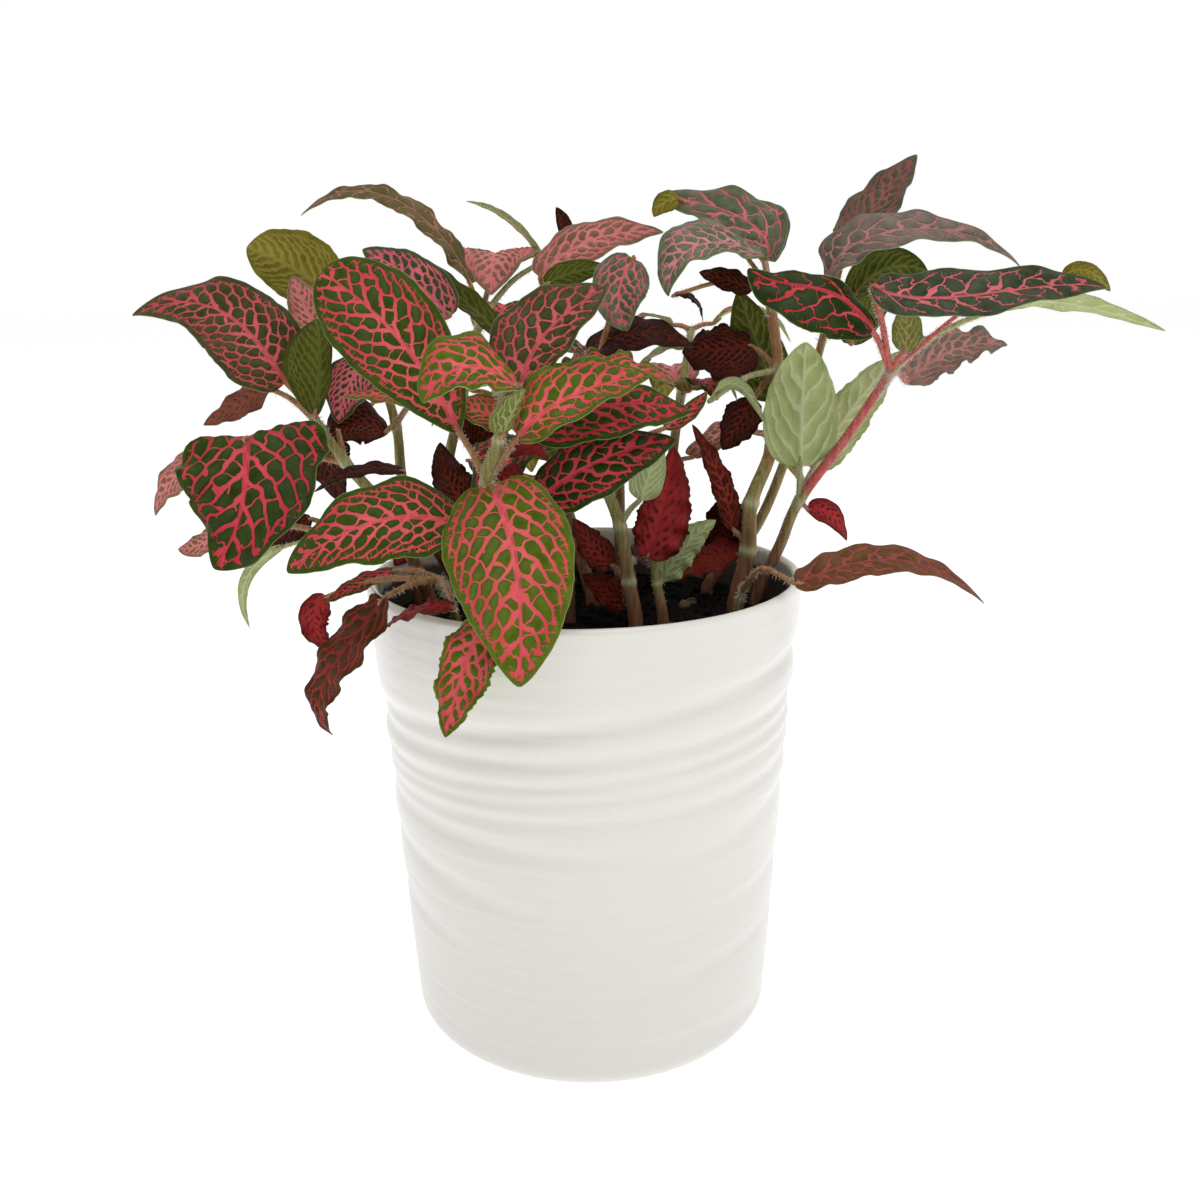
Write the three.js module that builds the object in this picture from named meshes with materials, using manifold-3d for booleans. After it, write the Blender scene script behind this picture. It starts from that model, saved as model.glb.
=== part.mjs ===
// A potted nerve plant: a white ribbed ceramic pot, the peat that fills it, and the leafy stems.
// Millimetres, +Z up, the viewer's side is -Y, origin at the centre of the pot's flat base.
import * as THREE from "three";
import { mergeVertices } from "three/addons/utils/BufferGeometryUtils.js";
import Module from "manifold-3d";

const wasm = await Module();
wasm.setup();

// Driving dimensions of the pot and its filling.
const RIM_RADIUS = 65;
const BASE_RADIUS = 55.7;
const POT_HEIGHT = 141;
const WALL = 3;
const FLOOR = 5;
const FOOT_ROUND = 6; // radius of the rounded edge between wall and base
const LIP_ROUND = 1.4; // radius of the soft edge of the lip
const POT_SIDES = 30;
const SOIL_TOP = 126;
const SOIL_LUMP = 1.2; // how far the peat rises and falls
const SOIL_SIDES = 22;
const GAP = 0.3; // between pieces that touch
const STEM_DEPTH = 13; // length of stem that stands in the peat
const STEM_RISE = 2.5; // height that a stem rises straight above the peat before it leans

// Driving dimensions of the leaves.
const BLADE = 0.7; // thickness
const FOLD = THREE.MathUtils.degToRad(12); // of each half of a blade, up from the midrib
const CUP = 0.15; // how far the margins bend down again, in half widths
const BLUNT = 0.42; // how square a blade's outline is at its base, and at its tip, where 1 is a point
const POINT = 0.8;
const STALK = 1; // half the width of a leaf stalk
const STALK_ARCH = 0.08; // how high a stalk arches, for its length
const STEM_TAPER = 0.42; // the share of its width that a stem loses on its way up
const STEM_END = 1.2; // length of stem above its last leaves
const STEM_SIDES = 5;

const [FRONT, HIGH, LOW, AWAY] = [[0, -0.8, 0.6], [0, -0.45, 0.9], [0, -1, 0.1], [0, 1, 0.15]];

const TONES = {
  bright: 0x5a6b2c,
  lush: 0x4c5c26,
  deep: 0x3d4d22,
  dark: 0x4a4a38,
  dusky: 0x6b4a48,
  misty: 0x776a5e,
  washed: 0x8c5a58,
  crimson: 0x8e2436,
  wine: 0x5c2020,
  maroon: 0x5a2a22,
  brown: 0x6a3826,
  russet: 0x7a3a2a,
  olive: 0x6d6630,
  moss: 0x4a4a18,
  sage: 0x93a07a,
  young: 0x7f8433,
};

// ---------------------------------------------------------------- the reference view
// The plant is laid out as seen from one viewpoint: a point is given by its place across and down
// that view, in pixels of a square 1200 wide, and by how far it stands forward of the pot's axis.

const EYE = new THREE.Vector3(7.5, -356, 227.3);
const FOCAL = 1212;
const CENTRE = 600;
const LOOK = new THREE.Euler(
  THREE.MathUtils.degToRad(-15.06),
  THREE.MathUtils.degToRad(0.82),
  THREE.MathUtils.degToRad(0.49),
  "ZXY",
);

function seen(across, down, forward) {
  const ray = new THREE.Vector3((across - CENTRE) / FOCAL, 1, (CENTRE - down) / FOCAL);
  ray.applyEuler(LOOK);
  return EYE.clone().addScaledVector(ray, (-forward - EYE.y) / ray.y);
}

// A place is either a point of that view, [across, down, forward], or a point in space.
function place(spot) {
  return spot.isVector3 ? spot : seen(...spot);
}

// ---------------------------------------------------------------- leaves and stems by hand
// leaf(growsFrom, tone, face, midrib, halves, options): the stem point that it grows from, counted from 1,
// its colour, the way its upper side looks, three or four points along its midrib, and its half widths in
// mm left and right of the midrib, seen from above with the tip ahead.
// Options: point (how slim the tip is), blunt (how slim the base is), wave (height of the waved edge as a
// part of the width), waves (how many), stalk (half its width), via (a point on the way of its stalk).

function leaf(growsFrom, tone, face, midrib, halves, options = {}) {
  return { growsFrom, tone, face, midrib, halves, ...options };
}

const SHOOTS = {
  front: {
    root: [-19, -17], thick: 4.4,
    stem: [[507, 560, 34], [487, 484, 50], [499, 440, 52], [506, 396, 52]],
    leaves: [
      leaf(2, "bright", [0, -0.9, 0.45],
        [[492, 485, 54], [517, 575, 76], [519, 688, 84]], [15, 17], { point: 0.78 }),
      leaf(2, "lush", [0, -0.75, 0.65],
        [[460, 526, 57], [375, 522, 62], [286, 572, 62]], [12.5, 11.5], { point: 0.7 }),
      leaf(2, "lush", [-0.2, -0.85, 0.45],
        [[459, 434, 46], [400, 340, 44], [321, 272, 32]], [14, 13], { point: 0.52, blunt: 0.78 }),
      leaf(2, "deep", [0.1, -0.8, 0.6],
        [[540, 500, 46], [600, 461, 46], [676, 439, 38]], [8.5, 10], { point: 0.75 }),
      leaf(2, "bright", [0, -0.75, 0.65],
        [[517, 438, 53], [574, 395, 54], [650, 376, 46]], [11, 7], { point: 0.7 }),
      leaf(2, "deep", FRONT, [[530, 430, 42], [615, 405, 44], [692, 412, 36]], [7, 10], { point: 0.8 }),
      leaf(4, "bright", [-0.1, -0.75, 0.65],
        [[517, 389, 55], [482, 368, 60], [449, 373, 64], [422, 403, 66]], [7.5, 11.5], { point: 0.7 }),
      leaf(4, "dusky", [-0.2, -0.85, 0.4],
        [[521, 388, 48], [547, 332, 42], [606, 288, 30]], [13, 7.9], { point: 0.6 }),
      leaf(3, "young", [-0.7, 1, 0], [[502, 436, 54], [512, 412, 56], [525, 389, 56]], [2, 5]),
      leaf(3, "crimson", FRONT, [[508, 455, 46], [530, 446, 47], [548, 462, 44]], [3, 3]),
      leaf(2, "crimson", FRONT, [[499, 492, 46], [510, 478, 44], [515, 462, 40]], [5, 4]),
      leaf(3, "bright", FRONT, [[510, 425, 44], [480, 412, 44], [452, 400, 38]], [4, 6]),
    ],
  },
  left: {
    root: [-47, 4], thick: 4.2,
    stem: [[392, 520, 8], [345, 462, 14], [318, 424, 14]],
    leaves: [
      leaf(3, "dusky", [-0.1, -0.8, 0.6],
        [[287, 384, 14], [256, 341, 12], [208, 306, 4], [131, 315, -6]], [13, 12.5]),
      leaf(2, "maroon", FRONT,
        [[338, 430, 10], [330, 462, 8], [345, 505, 4]], [6, 7], { wave: 0.07, waves: 3, plain: true }),
      leaf(3, "moss", [0.1, 1, 0],
        [[315, 418, 22], [320, 368, 22], [317, 319, 16]], [3.5, 11], { point: 0.6, blunt: 0.75 }),
      leaf(3, "deep", [-0.1, -0.8, 0.55],
        [[247, 435, 37], [246, 474, 47], [238, 522, 54], [213, 569, 56]], [22, 18.5],
        { point: 0.8, blunt: 0.22, via: [292, 446, 16] }),
      leaf(3, "washed", FRONT, [[270, 388, 4], [240, 405, 0], [203, 425, -4]], [5, 5.8]),
      leaf(2, "washed", FRONT, [[215, 466, 6], [175, 478, 2], [155, 516, 0]], [6, 6]),
      leaf(1, "maroon", HIGH, [[406, 472, 20], [360, 470, 24], [314, 492, 26]], [3.5, 3]),
    ],
  },
  left_back: {
    root: [-40, 22], thick: 4,
    stem: [[408, 500, -18], [396, 425, -16], [372, 350, -16]],
    leaves: [
      leaf(3, "olive", [0.2, 0.9, -0.3],
        [[335, 300, -14], [292, 268, -18], [247, 248, -24]], [12, 9], { point: 0.55 }),
      leaf(3, "washed", FRONT, [[330, 345, -6], [308, 312, -8], [292, 275, -10]], [6, 7]),
      leaf(2, "maroon", [0, -0.7, 0.7],
        [[386, 434, -12], [352, 424, -9], [326, 452, -6]], [9, 9], { wave: 0.05, plain: true }),
      leaf(3, "dark", [-0.2, -0.9, 0.4],
        [[366, 360, -12], [348, 388, -9], [338, 424, -6]], [8, 8], { plain: true }),
      leaf(1, "maroon", FRONT,
        [[398, 508, -13], [372, 528, -9], [352, 560, -6]], [7, 7], { wave: 0.07, plain: true }),
      leaf(2, "bright", HIGH, [[425, 404, 12], [385, 396, 10], [342, 397, 6]], [4, 5]),
      leaf(3, "dusky", [-0.3, -0.8, 0.6], [[450, 318, 0], [410, 278, -2], [362, 249, -8]], [8, 8]),
    ],
  },
  top_left: {
    root: [-28, 18], thick: 4.2,
    stem: [[448, 500, -20], [462, 400, -22], [480, 320, -24]],
    leaves: [
      leaf(3, "washed", [-0.1, -0.75, 0.6],
        [[472, 286, -26], [432, 226, -24], [370, 192, -22], [300, 216, -20]], [3.9, 3.6],
        { wave: 0.11, waves: 5 }),
      leaf(3, "moss", [0.5, 0.9, 0.5], [[503, 336, -8], [460, 296, -8], [405, 252, -10]], [5, 4]),
      leaf(3, "washed", [0, -0.5, 0.85],
        [[500, 268, -52], [494, 254, -38], [491, 295, -24]], [14, 14], { wave: 0.03 }),
      leaf(3, "sage", [0.3, 0.5, 0.8],
        [[545, 262, -40], [510, 220, -42], [466, 201, -44]], [2.4, 2.4], { wave: 0.01 }),
      leaf(2, "maroon", FRONT,
        [[470, 408, -22], [488, 432, -19], [496, 472, -17]], [7, 8], { wave: 0.06, plain: true }),
      leaf(1, "crimson", FRONT,
        [[438, 508, -16], [416, 536, -13], [394, 566, -11]], [7, 7], { wave: 0.07, plain: true }),
      leaf(1, "maroon", FRONT,
        [[470, 505, 4], [448, 480, 2], [440, 442, 0]], [5, 7], { wave: 0.1, waves: 3, plain: true }),
    ],
  },
  mid: {
    root: [15, -16], thick: 4.4,
    stem: [[629, 582, 15], [620, 526, 13], [600, 470, 10], [588, 400, 6]],
    leaves: [
      leaf(4, "bright", HIGH,
        [[560, 372, 30], [620, 366, 30], [676, 385, 28]], [6, 4], { wave: 0.1, waves: 4 }),
      leaf(4, "maroon", [0, -0.7, 0.7], [[586, 352, 4], [640, 332, 10], [694, 347, 8]], [6, 7]),
      leaf(3, "olive", FRONT, [[664, 428, 22], [690, 410, 20], [707, 391, 18]], [2.5, 3], { stalk: 0.9 }),
      leaf(4, "dusky", FRONT, [[634, 258, 12], [619, 294, 16], [628, 331, 18]], [8, 8]),
      leaf(2, "sage", AWAY, [[640, 500, 18], [650, 470, 18], [660, 430, 14]], [5, 5]),
      leaf(1, "wine", FRONT,
        [[612, 566, 10], [592, 546, 10], [573, 518, 10]], [5, 5], { wave: 0.08, waves: 3, plain: true }),
      leaf(1, "wine", FRONT,
        [[625, 604, 6], [606, 590, 8], [582, 574, 8]], [5, 5], { wave: 0.08, waves: 3, plain: true }),
      leaf(1, "maroon", [0, -0.7, 0.7],
        [[634, 560, -22], [657, 556, -32], [684, 566, -38]], [6, 6.5], { wave: 0.08, plain: true }),
    ],
  },
  mid_right: {
    root: [23, -13], thick: 3.4,
    stem: [[657, 584, 11], [652, 557, 10]],
    leaves: [
      leaf(2, "crimson", FRONT,
        [[647, 558, 12], [663, 508, 11], [674, 446, 8]], [7, 9], { wave: 0.1, waves: 5 }),
      leaf(1, "sage", AWAY,
        [[662, 582, 6], [684, 548, 5], [716, 520, 4]], [5, 6], { wave: 0.1, waves: 4 }),
    ],
  },
  right: {
    root: [46, 4], thick: 5.2,
    stem: [[748, 550, -3], [751, 503, -3], [772, 446, -8], [778, 370, -14], [768, 285, -12]],
    leaves: [
      leaf(5, "dark", [-0.1, -0.7, 0.7],
        [[766, 260, 0], [722, 243, 8], [684, 254, 14], [668, 297, 16]], [6, 11], { wave: 0.05 }),
      leaf(5, "dark", [0.25, -0.75, 0.65],
        [[766, 262, -12], [758, 230, -12], [716, 207, -16], [657, 195, -24]], [13, 12]),
      leaf(5, "olive", [0.1, 0.9, -0.2],
        [[680, 200, -18], [664, 203, -17], [654, 217, -18]], [3.4, 3.2],
        { point: 0.7, stalk: 0.7, via: [718, 222, -16], plain: true }),
      leaf(5, "maroon", FRONT, [[752, 288, -8], [725, 280, -6], [699, 272, -6]], [4, 4.5]),
      leaf(4, "maroon", [-0.1, -0.8, 0.5],
        [[752, 345, -16], [715, 350, -12], [682, 352, -10]], [12, 8], { wave: 0.08 }),
      leaf(4, "maroon", FRONT,
        [[752, 400, -14], [738, 425, -12], [722, 450, -12]], [6, 6],
        { wave: 0.1, waves: 3, plain: true }),
      leaf(3, "moss", AWAY, [[776, 400, -22], [757, 345, -22], [738, 290, -20]], [8, 9]),
      leaf(5, "maroon", HIGH, [[674, 294, -4], [695, 300, -6], [703, 322, -6]], [1.6, 2], { stalk: 0.8 }),
      leaf(4, "sage", [0, 0.7, 0.7],
        [[708, 402, 0], [736, 384, 0], [765, 424, -2]], [2.6, 2.8], { wave: 0.02 }),
      leaf(1, "crimson", [0, -0.6, 0.8],
        [[738, 556, -8], [706, 560, -13], [672, 582, -17]], [7, 8], { wave: 0.08, plain: true }),
      leaf(2, "maroon", FRONT,
        [[742, 506, -9], [722, 532, -15], [716, 566, -18]], [7, 7], { wave: 0.08, plain: true }),
      leaf(1, "wine", FRONT,
        [[733, 530, -6], [720, 480, -6], [692, 424, -8]], [3.6, 3.8], { wave: 0.14, waves: 4 }),
    ],
  },
  right_long: {
    root: [53, 11], thick: 4,
    stem: [[780, 545, -10], [799, 501, -6], [848, 435, 0], [890, 372, 4]],
    leaves: [
      leaf(2, "crimson", [-0.2, -0.8, 0.5],
        [[808, 511, -4], [830, 514, -4], [847, 541, -6]], [3.8, 3.8],
        { wave: 0.05, waves: 2, stalk: 0.8 }),
      leaf(2, "sage", [0.1, 1, 0.1],
        [[800, 468, -3], [802, 405, -2], [806, 342, -5]], [11, 11.5], { point: 0.7 }),
      leaf(2, "sage", [-0.1, 1, -0.1],
        [[812, 470, -14], [852, 408, -16], [904, 350, -18]], [8, 7], { wave: 0.08, waves: 4 }),
      leaf(4, "misty", FRONT,
        [[906, 384, -6], [955, 350, -10], [1008, 345, -14]], [8.5, 6], { wave: 0.12, waves: 4 }),
      leaf(4, "young", LOW, [[905, 352, 8], [907, 328, 8], [905, 308, 6]], [4.5, 4.5], { point: 0.6 }),
      leaf(4, "dark", [0, -0.7, 0.75],
        [[870, 284, 20], [940, 298, 22], [1030, 288, 18], [1108, 288, 8]], [10, 8]),
      leaf(4, "sage", [0, 0.6, 0.8], [[985, 312, 4], [1060, 302, -2], [1166, 331, -6]], [4, 5]),
      leaf(4, "olive", [0.3, 0.8, 0.2],
        [[1062, 277, 6], [1086, 270, 8], [1110, 291, 2]], [2.5, 2.3],
        { point: 0.6, stalk: 0.7, via: [980, 300, 6], plain: true }),
      leaf(4, "deep", [0, -0.85, 0.5],
        [[874, 331, 12], [830, 293, 16], [788, 284, 18], [748, 268, 18]], [13.5, 4.5], { point: 0.7 }),
    ],
  },
  right_top: {
    root: [39, 25], thick: 4,
    stem: [[760, 520, -34], [802, 410, -34], [832, 305, -28]],
    leaves: [
      leaf(3, "misty", [-0.1, -0.65, 0.7],
        [[836, 292, -20], [852, 246, -16], [935, 229, -20], [1022, 268, -26]], [9, 7],
        { wave: 0.06, waves: 5 }),
      leaf(3, "misty", [-0.6, -0.7, 0.3],
        [[846, 245, -34], [880, 200, -40], [917, 154, -44]], [9.5, 8.5]),
      leaf(3, "moss", AWAY, [[850, 300, -26], [886, 268, -28], [928, 272, -30]], [6, 7]),
      leaf(3, "moss", AWAY, [[850, 345, -20], [868, 312, -20], [902, 290, -20]], [6, 6]),
    ],
  },
  low_right: {
    root: [44, -15], thick: 2.6,
    stem: [[743, 589, 17]],
    leaves: [
      leaf(1, "russet", [0, -0.6, 0.8],
        [[794, 584, 40], [845, 566, 40], [912, 562, 36], [985, 604, 30]], [6, 5.5],
        { wave: 0.06, waves: 5, via: [762, 569, 26] }),
    ],
  },
  low_left: {
    root: [-34, -30], thick: 3,
    stem: [[440, 580, 35]],
    leaves: [
      leaf(1, "brown", [-0.5, -0.8, 0.2],
        [[384, 596, 48], [352, 640, 52], [322, 690, 54], [333, 736, 54]], [6.5, 6.5],
        { wave: 0.08, waves: 4 }),
      leaf(1, "crimson", FRONT,
        [[327, 596, 32], [314, 624, 34], [334, 650, 36]], [4.2, 4.4], { wave: 0.12, waves: 3 }),
      leaf(1, "crimson", HIGH,
        [[456, 607, 60], [415, 611, 58], [375, 634, 46]], [3, 3], { wave: 0.08, waves: 3 }),
      leaf(1, "olive", HIGH, [[395, 570, 24], [358, 586, 34], [326, 602, 38]], [3, 4]),
    ],
  },
  left_low: {
    root: [-52, 8], thick: 2.8,
    stem: [[405, 545, -6], [348, 540, 8]],
    leaves: [
      leaf(2, "sage", AWAY, [[284, 546, 8], [246, 580, 6], [250, 628, 6]], [2, 1.8], { stalk: 0.8 }),
      leaf(2, "maroon", FRONT, [[312, 518, 6], [286, 535, 6], [262, 546, 6]], [4, 4]),
      leaf(2, "washed", FRONT, [[228, 528, 12], [200, 545, 10], [178, 549, 8]], [4, 4]),
    ],
  },
  front_low: {
    root: [-30, -24], thick: 3,
    stem: [[480, 606, 54]],
    leaves: [
      leaf(1, "bright", [-0.2, -1, 0.2],
        [[484, 622, 64], [462, 675, 70], [445, 738, 74]], [8, 7], { wave: 0.1, waves: 3 }),
    ],
  },
  mid_back: {
    root: [2, 12], thick: 4.2,
    stem: [[560, 480, -26], [548, 380, -30], [545, 300, -32]],
    leaves: [
      leaf(3, "washed", [0, -0.75, 0.65], [[538, 278, -28], [592, 240, -30], [664, 232, -32]], [8, 8]),
      leaf(3, "maroon", FRONT, [[566, 238, -42], [562, 222, -42], [556, 207, -42]], [2, 3]),
      leaf(1, "crimson", FRONT,
        [[558, 520, -32], [580, 548, -30], [606, 560, -30]], [7, 7], { wave: 0.08, plain: true }),
      leaf(3, "moss", AWAY, [[545, 285, -20], [575, 272, -20], [610, 268, -20]], [4, 4]),
    ],
  },
};

// ---------------------------------------------------------------- leafy stems by rule
// The far side of the plant, which the reference view hides: pairs of leaves that cross each other up the
// stem, as the species grows, and shorter where they point into the plant.

const SPRIGS = {
  back_left: { root: [-32, 28], lean: 89, tilt: 36, height: 82, turn: 89, seed: 47 },
  back: { root: [-9, 39], lean: 88, tilt: 34, height: 66, turn: 55, seed: 20 },
  back_mid: { root: [11, 30], lean: 90, tilt: 12, height: 70, turn: 75, seed: 5, pairs: 2 },
  back_right: { root: [25, 45], lean: 69, tilt: 22, height: 82, turn: 6, seed: 37 },
  middle: { root: [-5, -4], lean: 86, tilt: 12, height: 62, turn: 77, seed: 48, pairs: 2 },
};
const NODE_HEIGHTS = [0.46, 0.74, 1]; // of the leaf pairs, as parts of the stem
const SPRIG_THICK = 4;
const LEAF_LENGTH = 44; // of the lowest pair
const LENGTH_STEP = 5; // by which each pair is shorter than the one below
const INWARD = 0.62; // length left to a leaf that points into the plant
const STALK_LENGTH = 7;

// A fixed scatter between 0 and 1.
function chance(seed, k) {
  const v = Math.sin(seed * 12.9898 + k * 78.233) * 43758.5453;
  return v - Math.floor(v);
}

function heading(degrees) {
  const a = THREE.MathUtils.degToRad(degrees);
  return new THREE.Vector3(Math.cos(a), Math.sin(a), 0);
}

function sprigLeaf(node, growsFrom, degrees, outward, seed) {
  const way = heading(degrees);
  const inward = -way.dot(outward) > 0.35;
  const full = LEAF_LENGTH - LENGTH_STEP * (growsFrom - 1);
  const length = full * (0.86 + 0.28 * chance(seed, 2)) * (inward ? INWARD : 1);
  const drop = (0.12 + 0.3 * chance(seed, 3)) * length * (inward ? 0.2 : 1);
  const base = node.clone().addScaledVector(way, STALK_LENGTH);
  base.z += 2;
  const middle = base.clone().addScaledVector(way, 0.5 * length);
  middle.z += 0.17 * length;
  const tip = base.clone().addScaledVector(way, 0.93 * length);
  tip.z -= drop;
  const half = 0.29 * length;
  const face = [0.25 * way.x, 0.25 * way.y, 1];
  const shape = { wave: 0.04, phase: 6 * chance(seed, 4), plain: true };
  return leaf(growsFrom, "dark", face, [base, middle, tip], [half, half], shape);
}

function sprig({ root, lean, tilt, height, turn, seed, pairs = 3 }) {
  const reach = height * Math.tan(THREE.MathUtils.degToRad(tilt));
  const ground = new THREE.Vector3(root[0], root[1], SOIL_TOP);
  const outward = new THREE.Vector3(root[0], root[1], 0).normalize();
  const stem = NODE_HEIGHTS.slice(-pairs).map((t) => {
    const node = ground.clone().addScaledVector(heading(lean), reach * t ** 1.4);
    node.z += height * t;
    return node;
  });
  const leaves = stem.flatMap((node, k) =>
    [0, 1].map((side) => {
      const own = seed * 10 + k * 2 + side;
      const degrees = turn + 90 * k + 180 * side + 30 * (chance(own, 1) - 0.5);
      return sprigLeaf(node, k + 1, degrees, outward, own);
    }),
  );
  return { root, thick: SPRIG_THICK, stem, leaves };
}

// ---------------------------------------------------------------- solids

// The solid inside a closed skin, whichever way round the skin's triangles run.
function solidOf(geometry) {
  geometry.deleteAttribute("normal");
  geometry.deleteAttribute("uv");
  const merged = mergeVertices(geometry, 1e-4);
  const vertProperties = merged.attributes.position.array;
  const triVerts = new Uint32Array(merged.index.array);
  const solid = new wasm.Manifold(new wasm.Mesh({ numProp: 3, vertProperties, triVerts }));
  if (solid.volume() > 0) return solid;
  for (let i = 0; i < triVerts.length; i += 3) {
    [triVerts[i], triVerts[i + 1]] = [triVerts[i + 1], triVerts[i]];
  }
  return new wasm.Manifold(new wasm.Mesh({ numProp: 3, vertProperties, triVerts }));
}

function meshOf(solid, name, color, roughness) {
  const { vertProperties, triVerts } = solid.getMesh();
  const geometry = new THREE.BufferGeometry();
  geometry.setAttribute("position", new THREE.BufferAttribute(vertProperties, 3));
  geometry.setIndex(new THREE.BufferAttribute(triVerts, 1));
  geometry.computeVertexNormals();
  const mesh = new THREE.Mesh(geometry, new THREE.MeshStandardMaterial({ color, roughness, metalness: 0 }));
  mesh.name = name;
  return mesh;
}

// A closed skin over rings of as many points each, in order. Quads whose number is in `crossed` are split
// along the other diagonal, so that the two faces of a blade are split alike.
function loft(rings, crossed = () => false) {
  const size = rings[0].length;
  const index = [];
  rings.slice(1).forEach((_, k) => {
    for (let a = 0; a < size; a++) {
      const b = (a + 1) % size;
      const [p, q, r, s] = [k * size + a, k * size + b, (k + 1) * size + b, (k + 1) * size + a];
      index.push(...(crossed(a) ? [p, q, s, q, r, s] : [p, q, r, p, r, s]));
    }
  });
  const last = (rings.length - 1) * size;
  for (let a = 0; a < size / 2 - 1; a++) {
    const [p, q, r, s] = [a, a + 1, size - 2 - a, size - 1 - a];
    index.push(p, r, q);
    index.push(last + p, last + q, last + r);
    if (s !== r) {
      index.push(p, s, r);
      index.push(last + p, last + r, last + s);
    }
  }
  const geometry = new THREE.BufferGeometry();
  const places = rings.flat().flatMap((v) => v.toArray());
  geometry.setAttribute("position", new THREE.Float32BufferAttribute(places, 3));
  geometry.setIndex(index);
  return solidOf(geometry);
}

// ---------------------------------------------------------------- pot

// Grooves drawn by the potter's fingers: height at the front, how much higher it is at the right, depth,
// half width, and, for one that fades out, the angle of its middle and the half angle that it covers.
const GROOVES = [
  { height: 113.5, tilt: 7, depth: 1.5, width: 2.4 },
  { height: 104, tilt: 3, depth: 1.3, width: 2 },
  { height: 97.5, tilt: 4.5, depth: 1, width: 1.6 },
  { height: 92.5, tilt: 3.5, depth: 0.7, width: 1.5 },
  { height: 86, tilt: 2, depth: 0.9, width: 1.8 },
  { height: 75.5, tilt: -4, depth: 0.9, width: 2.4, middle: -40, spread: 55 },
  { height: 66, tilt: 12, depth: 0.7, width: 2.6, middle: 65, spread: 35 },
  { height: 54.5, tilt: -11, depth: 0.8, width: 2.6, middle: -50, spread: 32 },
  { height: 46, tilt: 8, depth: 0.5, width: 2.6, middle: 70, spread: 30 },
  { height: 35, tilt: -12, depth: 0.5, width: 2.6, middle: -65, spread: 25 },
  { height: 30, tilt: 7, depth: 0.5, width: 2.6, middle: 40, spread: 30 },
  { height: 15, tilt: -6, depth: 0.4, width: 2.4, middle: 45, spread: 35 },
];

// The rows of points that cut the wall, from the base up: height at the front and how much it tilts.
const ROWS = [
  [22, 0], [38, 0], [50, 0], [60, 0], [68, 0], [75.5, -3], [81, 0], [86, 2], [89.5, 3], [92.5, 3.5],
  [95, 4], [97.5, 4.5], [101, 4], [104, 3], [109, 5], [113.5, 7], [118, 6], [130, 1],
];

// The angle is 0 at the viewer's side and grows to the right.
function wallRadius(angle, z) {
  let radius = BASE_RADIUS + ((RIM_RADIUS - BASE_RADIUS) * z) / POT_HEIGHT;
  for (const { height, tilt, depth, width, middle = 0, spread = 0 } of GROOVES) {
    const away = THREE.MathUtils.euclideanModulo(THREE.MathUtils.radToDeg(angle) - middle + 180, 360) - 180;
    const fade = spread ? Math.exp(-((away / spread) ** 2)) : 1;
    const rise = z - height - tilt * Math.sin(angle);
    radius -= depth * fade * Math.exp(-((rise / width) ** 2));
  }
  return radius;
}

// Points of the pot's section at one angle, from the middle of the base up the outside and down the inside.
function potSection(angle) {
  const section = [[0, 0]];
  for (const turn of [0, 30, 60, 90]) {
    const a = THREE.MathUtils.degToRad(turn);
    const z = FOOT_ROUND * (1 - Math.cos(a));
    section.push([wallRadius(angle, z) - FOOT_ROUND * (1 - Math.sin(a)), z]);
  }
  for (const [height, tilt] of ROWS) {
    const z = height + tilt * Math.sin(angle);
    section.push([wallRadius(angle, z), z]);
  }
  const lip = POT_HEIGHT - LIP_ROUND;
  section.push([wallRadius(angle, lip), lip]);
  section.push([RIM_RADIUS - 0.45 * LIP_ROUND, POT_HEIGHT - 0.15 * LIP_ROUND]);
  section.push([RIM_RADIUS - LIP_ROUND, POT_HEIGHT]);
  section.push([RIM_RADIUS - WALL + 0.3 * LIP_ROUND, POT_HEIGHT - 0.3 * LIP_ROUND]);
  section.push([RIM_RADIUS - WALL, lip]);
  section.push([RIM_RADIUS - WALL - 0.6, SOIL_TOP - 14]);
  section.push([BASE_RADIUS - WALL, FLOOR + 8]);
  section.push([BASE_RADIUS - WALL - 6, FLOOR]);
  section.push([0, FLOOR]);
  return section;
}

function pot() {
  const flat = potSection(0).map(([r, z]) => new THREE.Vector2(r, z));
  const geometry = new THREE.LatheGeometry(flat, POT_SIDES);
  const points = geometry.attributes.position;
  for (let side = 0; side <= POT_SIDES; side++) {
    const angle = (2 * Math.PI * (side % POT_SIDES)) / POT_SIDES;
    potSection(angle).forEach(([r, z], row) => {
      points.setXYZ(side * flat.length + row, r * Math.sin(angle), -r * Math.cos(angle), z);
    });
  }
  return solidOf(geometry);
}

// ---------------------------------------------------------------- soil

function soilHeight(x, y) {
  return SOIL_TOP + SOIL_LUMP * (0.6 * Math.sin(x / 7 + 1) * Math.cos(y / 9) + 0.4 * Math.sin((x + y) / 4.5));
}

function soilBody() {
  const floor = FLOOR + GAP;
  const bottom = BASE_RADIUS - WALL - 6 - GAP;
  const side = BASE_RADIUS - WALL - GAP;
  const top = RIM_RADIUS - WALL - 0.6 - 2 * GAP;
  const section = [[0, floor], [bottom, floor], [side, FLOOR + 8], [top, SOIL_TOP - 14]];
  section.push([top, SOIL_TOP], [0.7 * top, SOIL_TOP], [0.36 * top, SOIL_TOP], [0, SOIL_TOP]);
  const geometry = new THREE.LatheGeometry(section.map(([r, z]) => new THREE.Vector2(r, z)), SOIL_SIDES);
  geometry.rotateX(Math.PI / 2);
  const points = geometry.attributes.position;
  for (let i = 0; i < points.count; i++) {
    if (points.getZ(i) > SOIL_TOP - 1) points.setZ(i, soilHeight(points.getX(i), points.getY(i)));
  }
  return solidOf(geometry);
}

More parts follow.
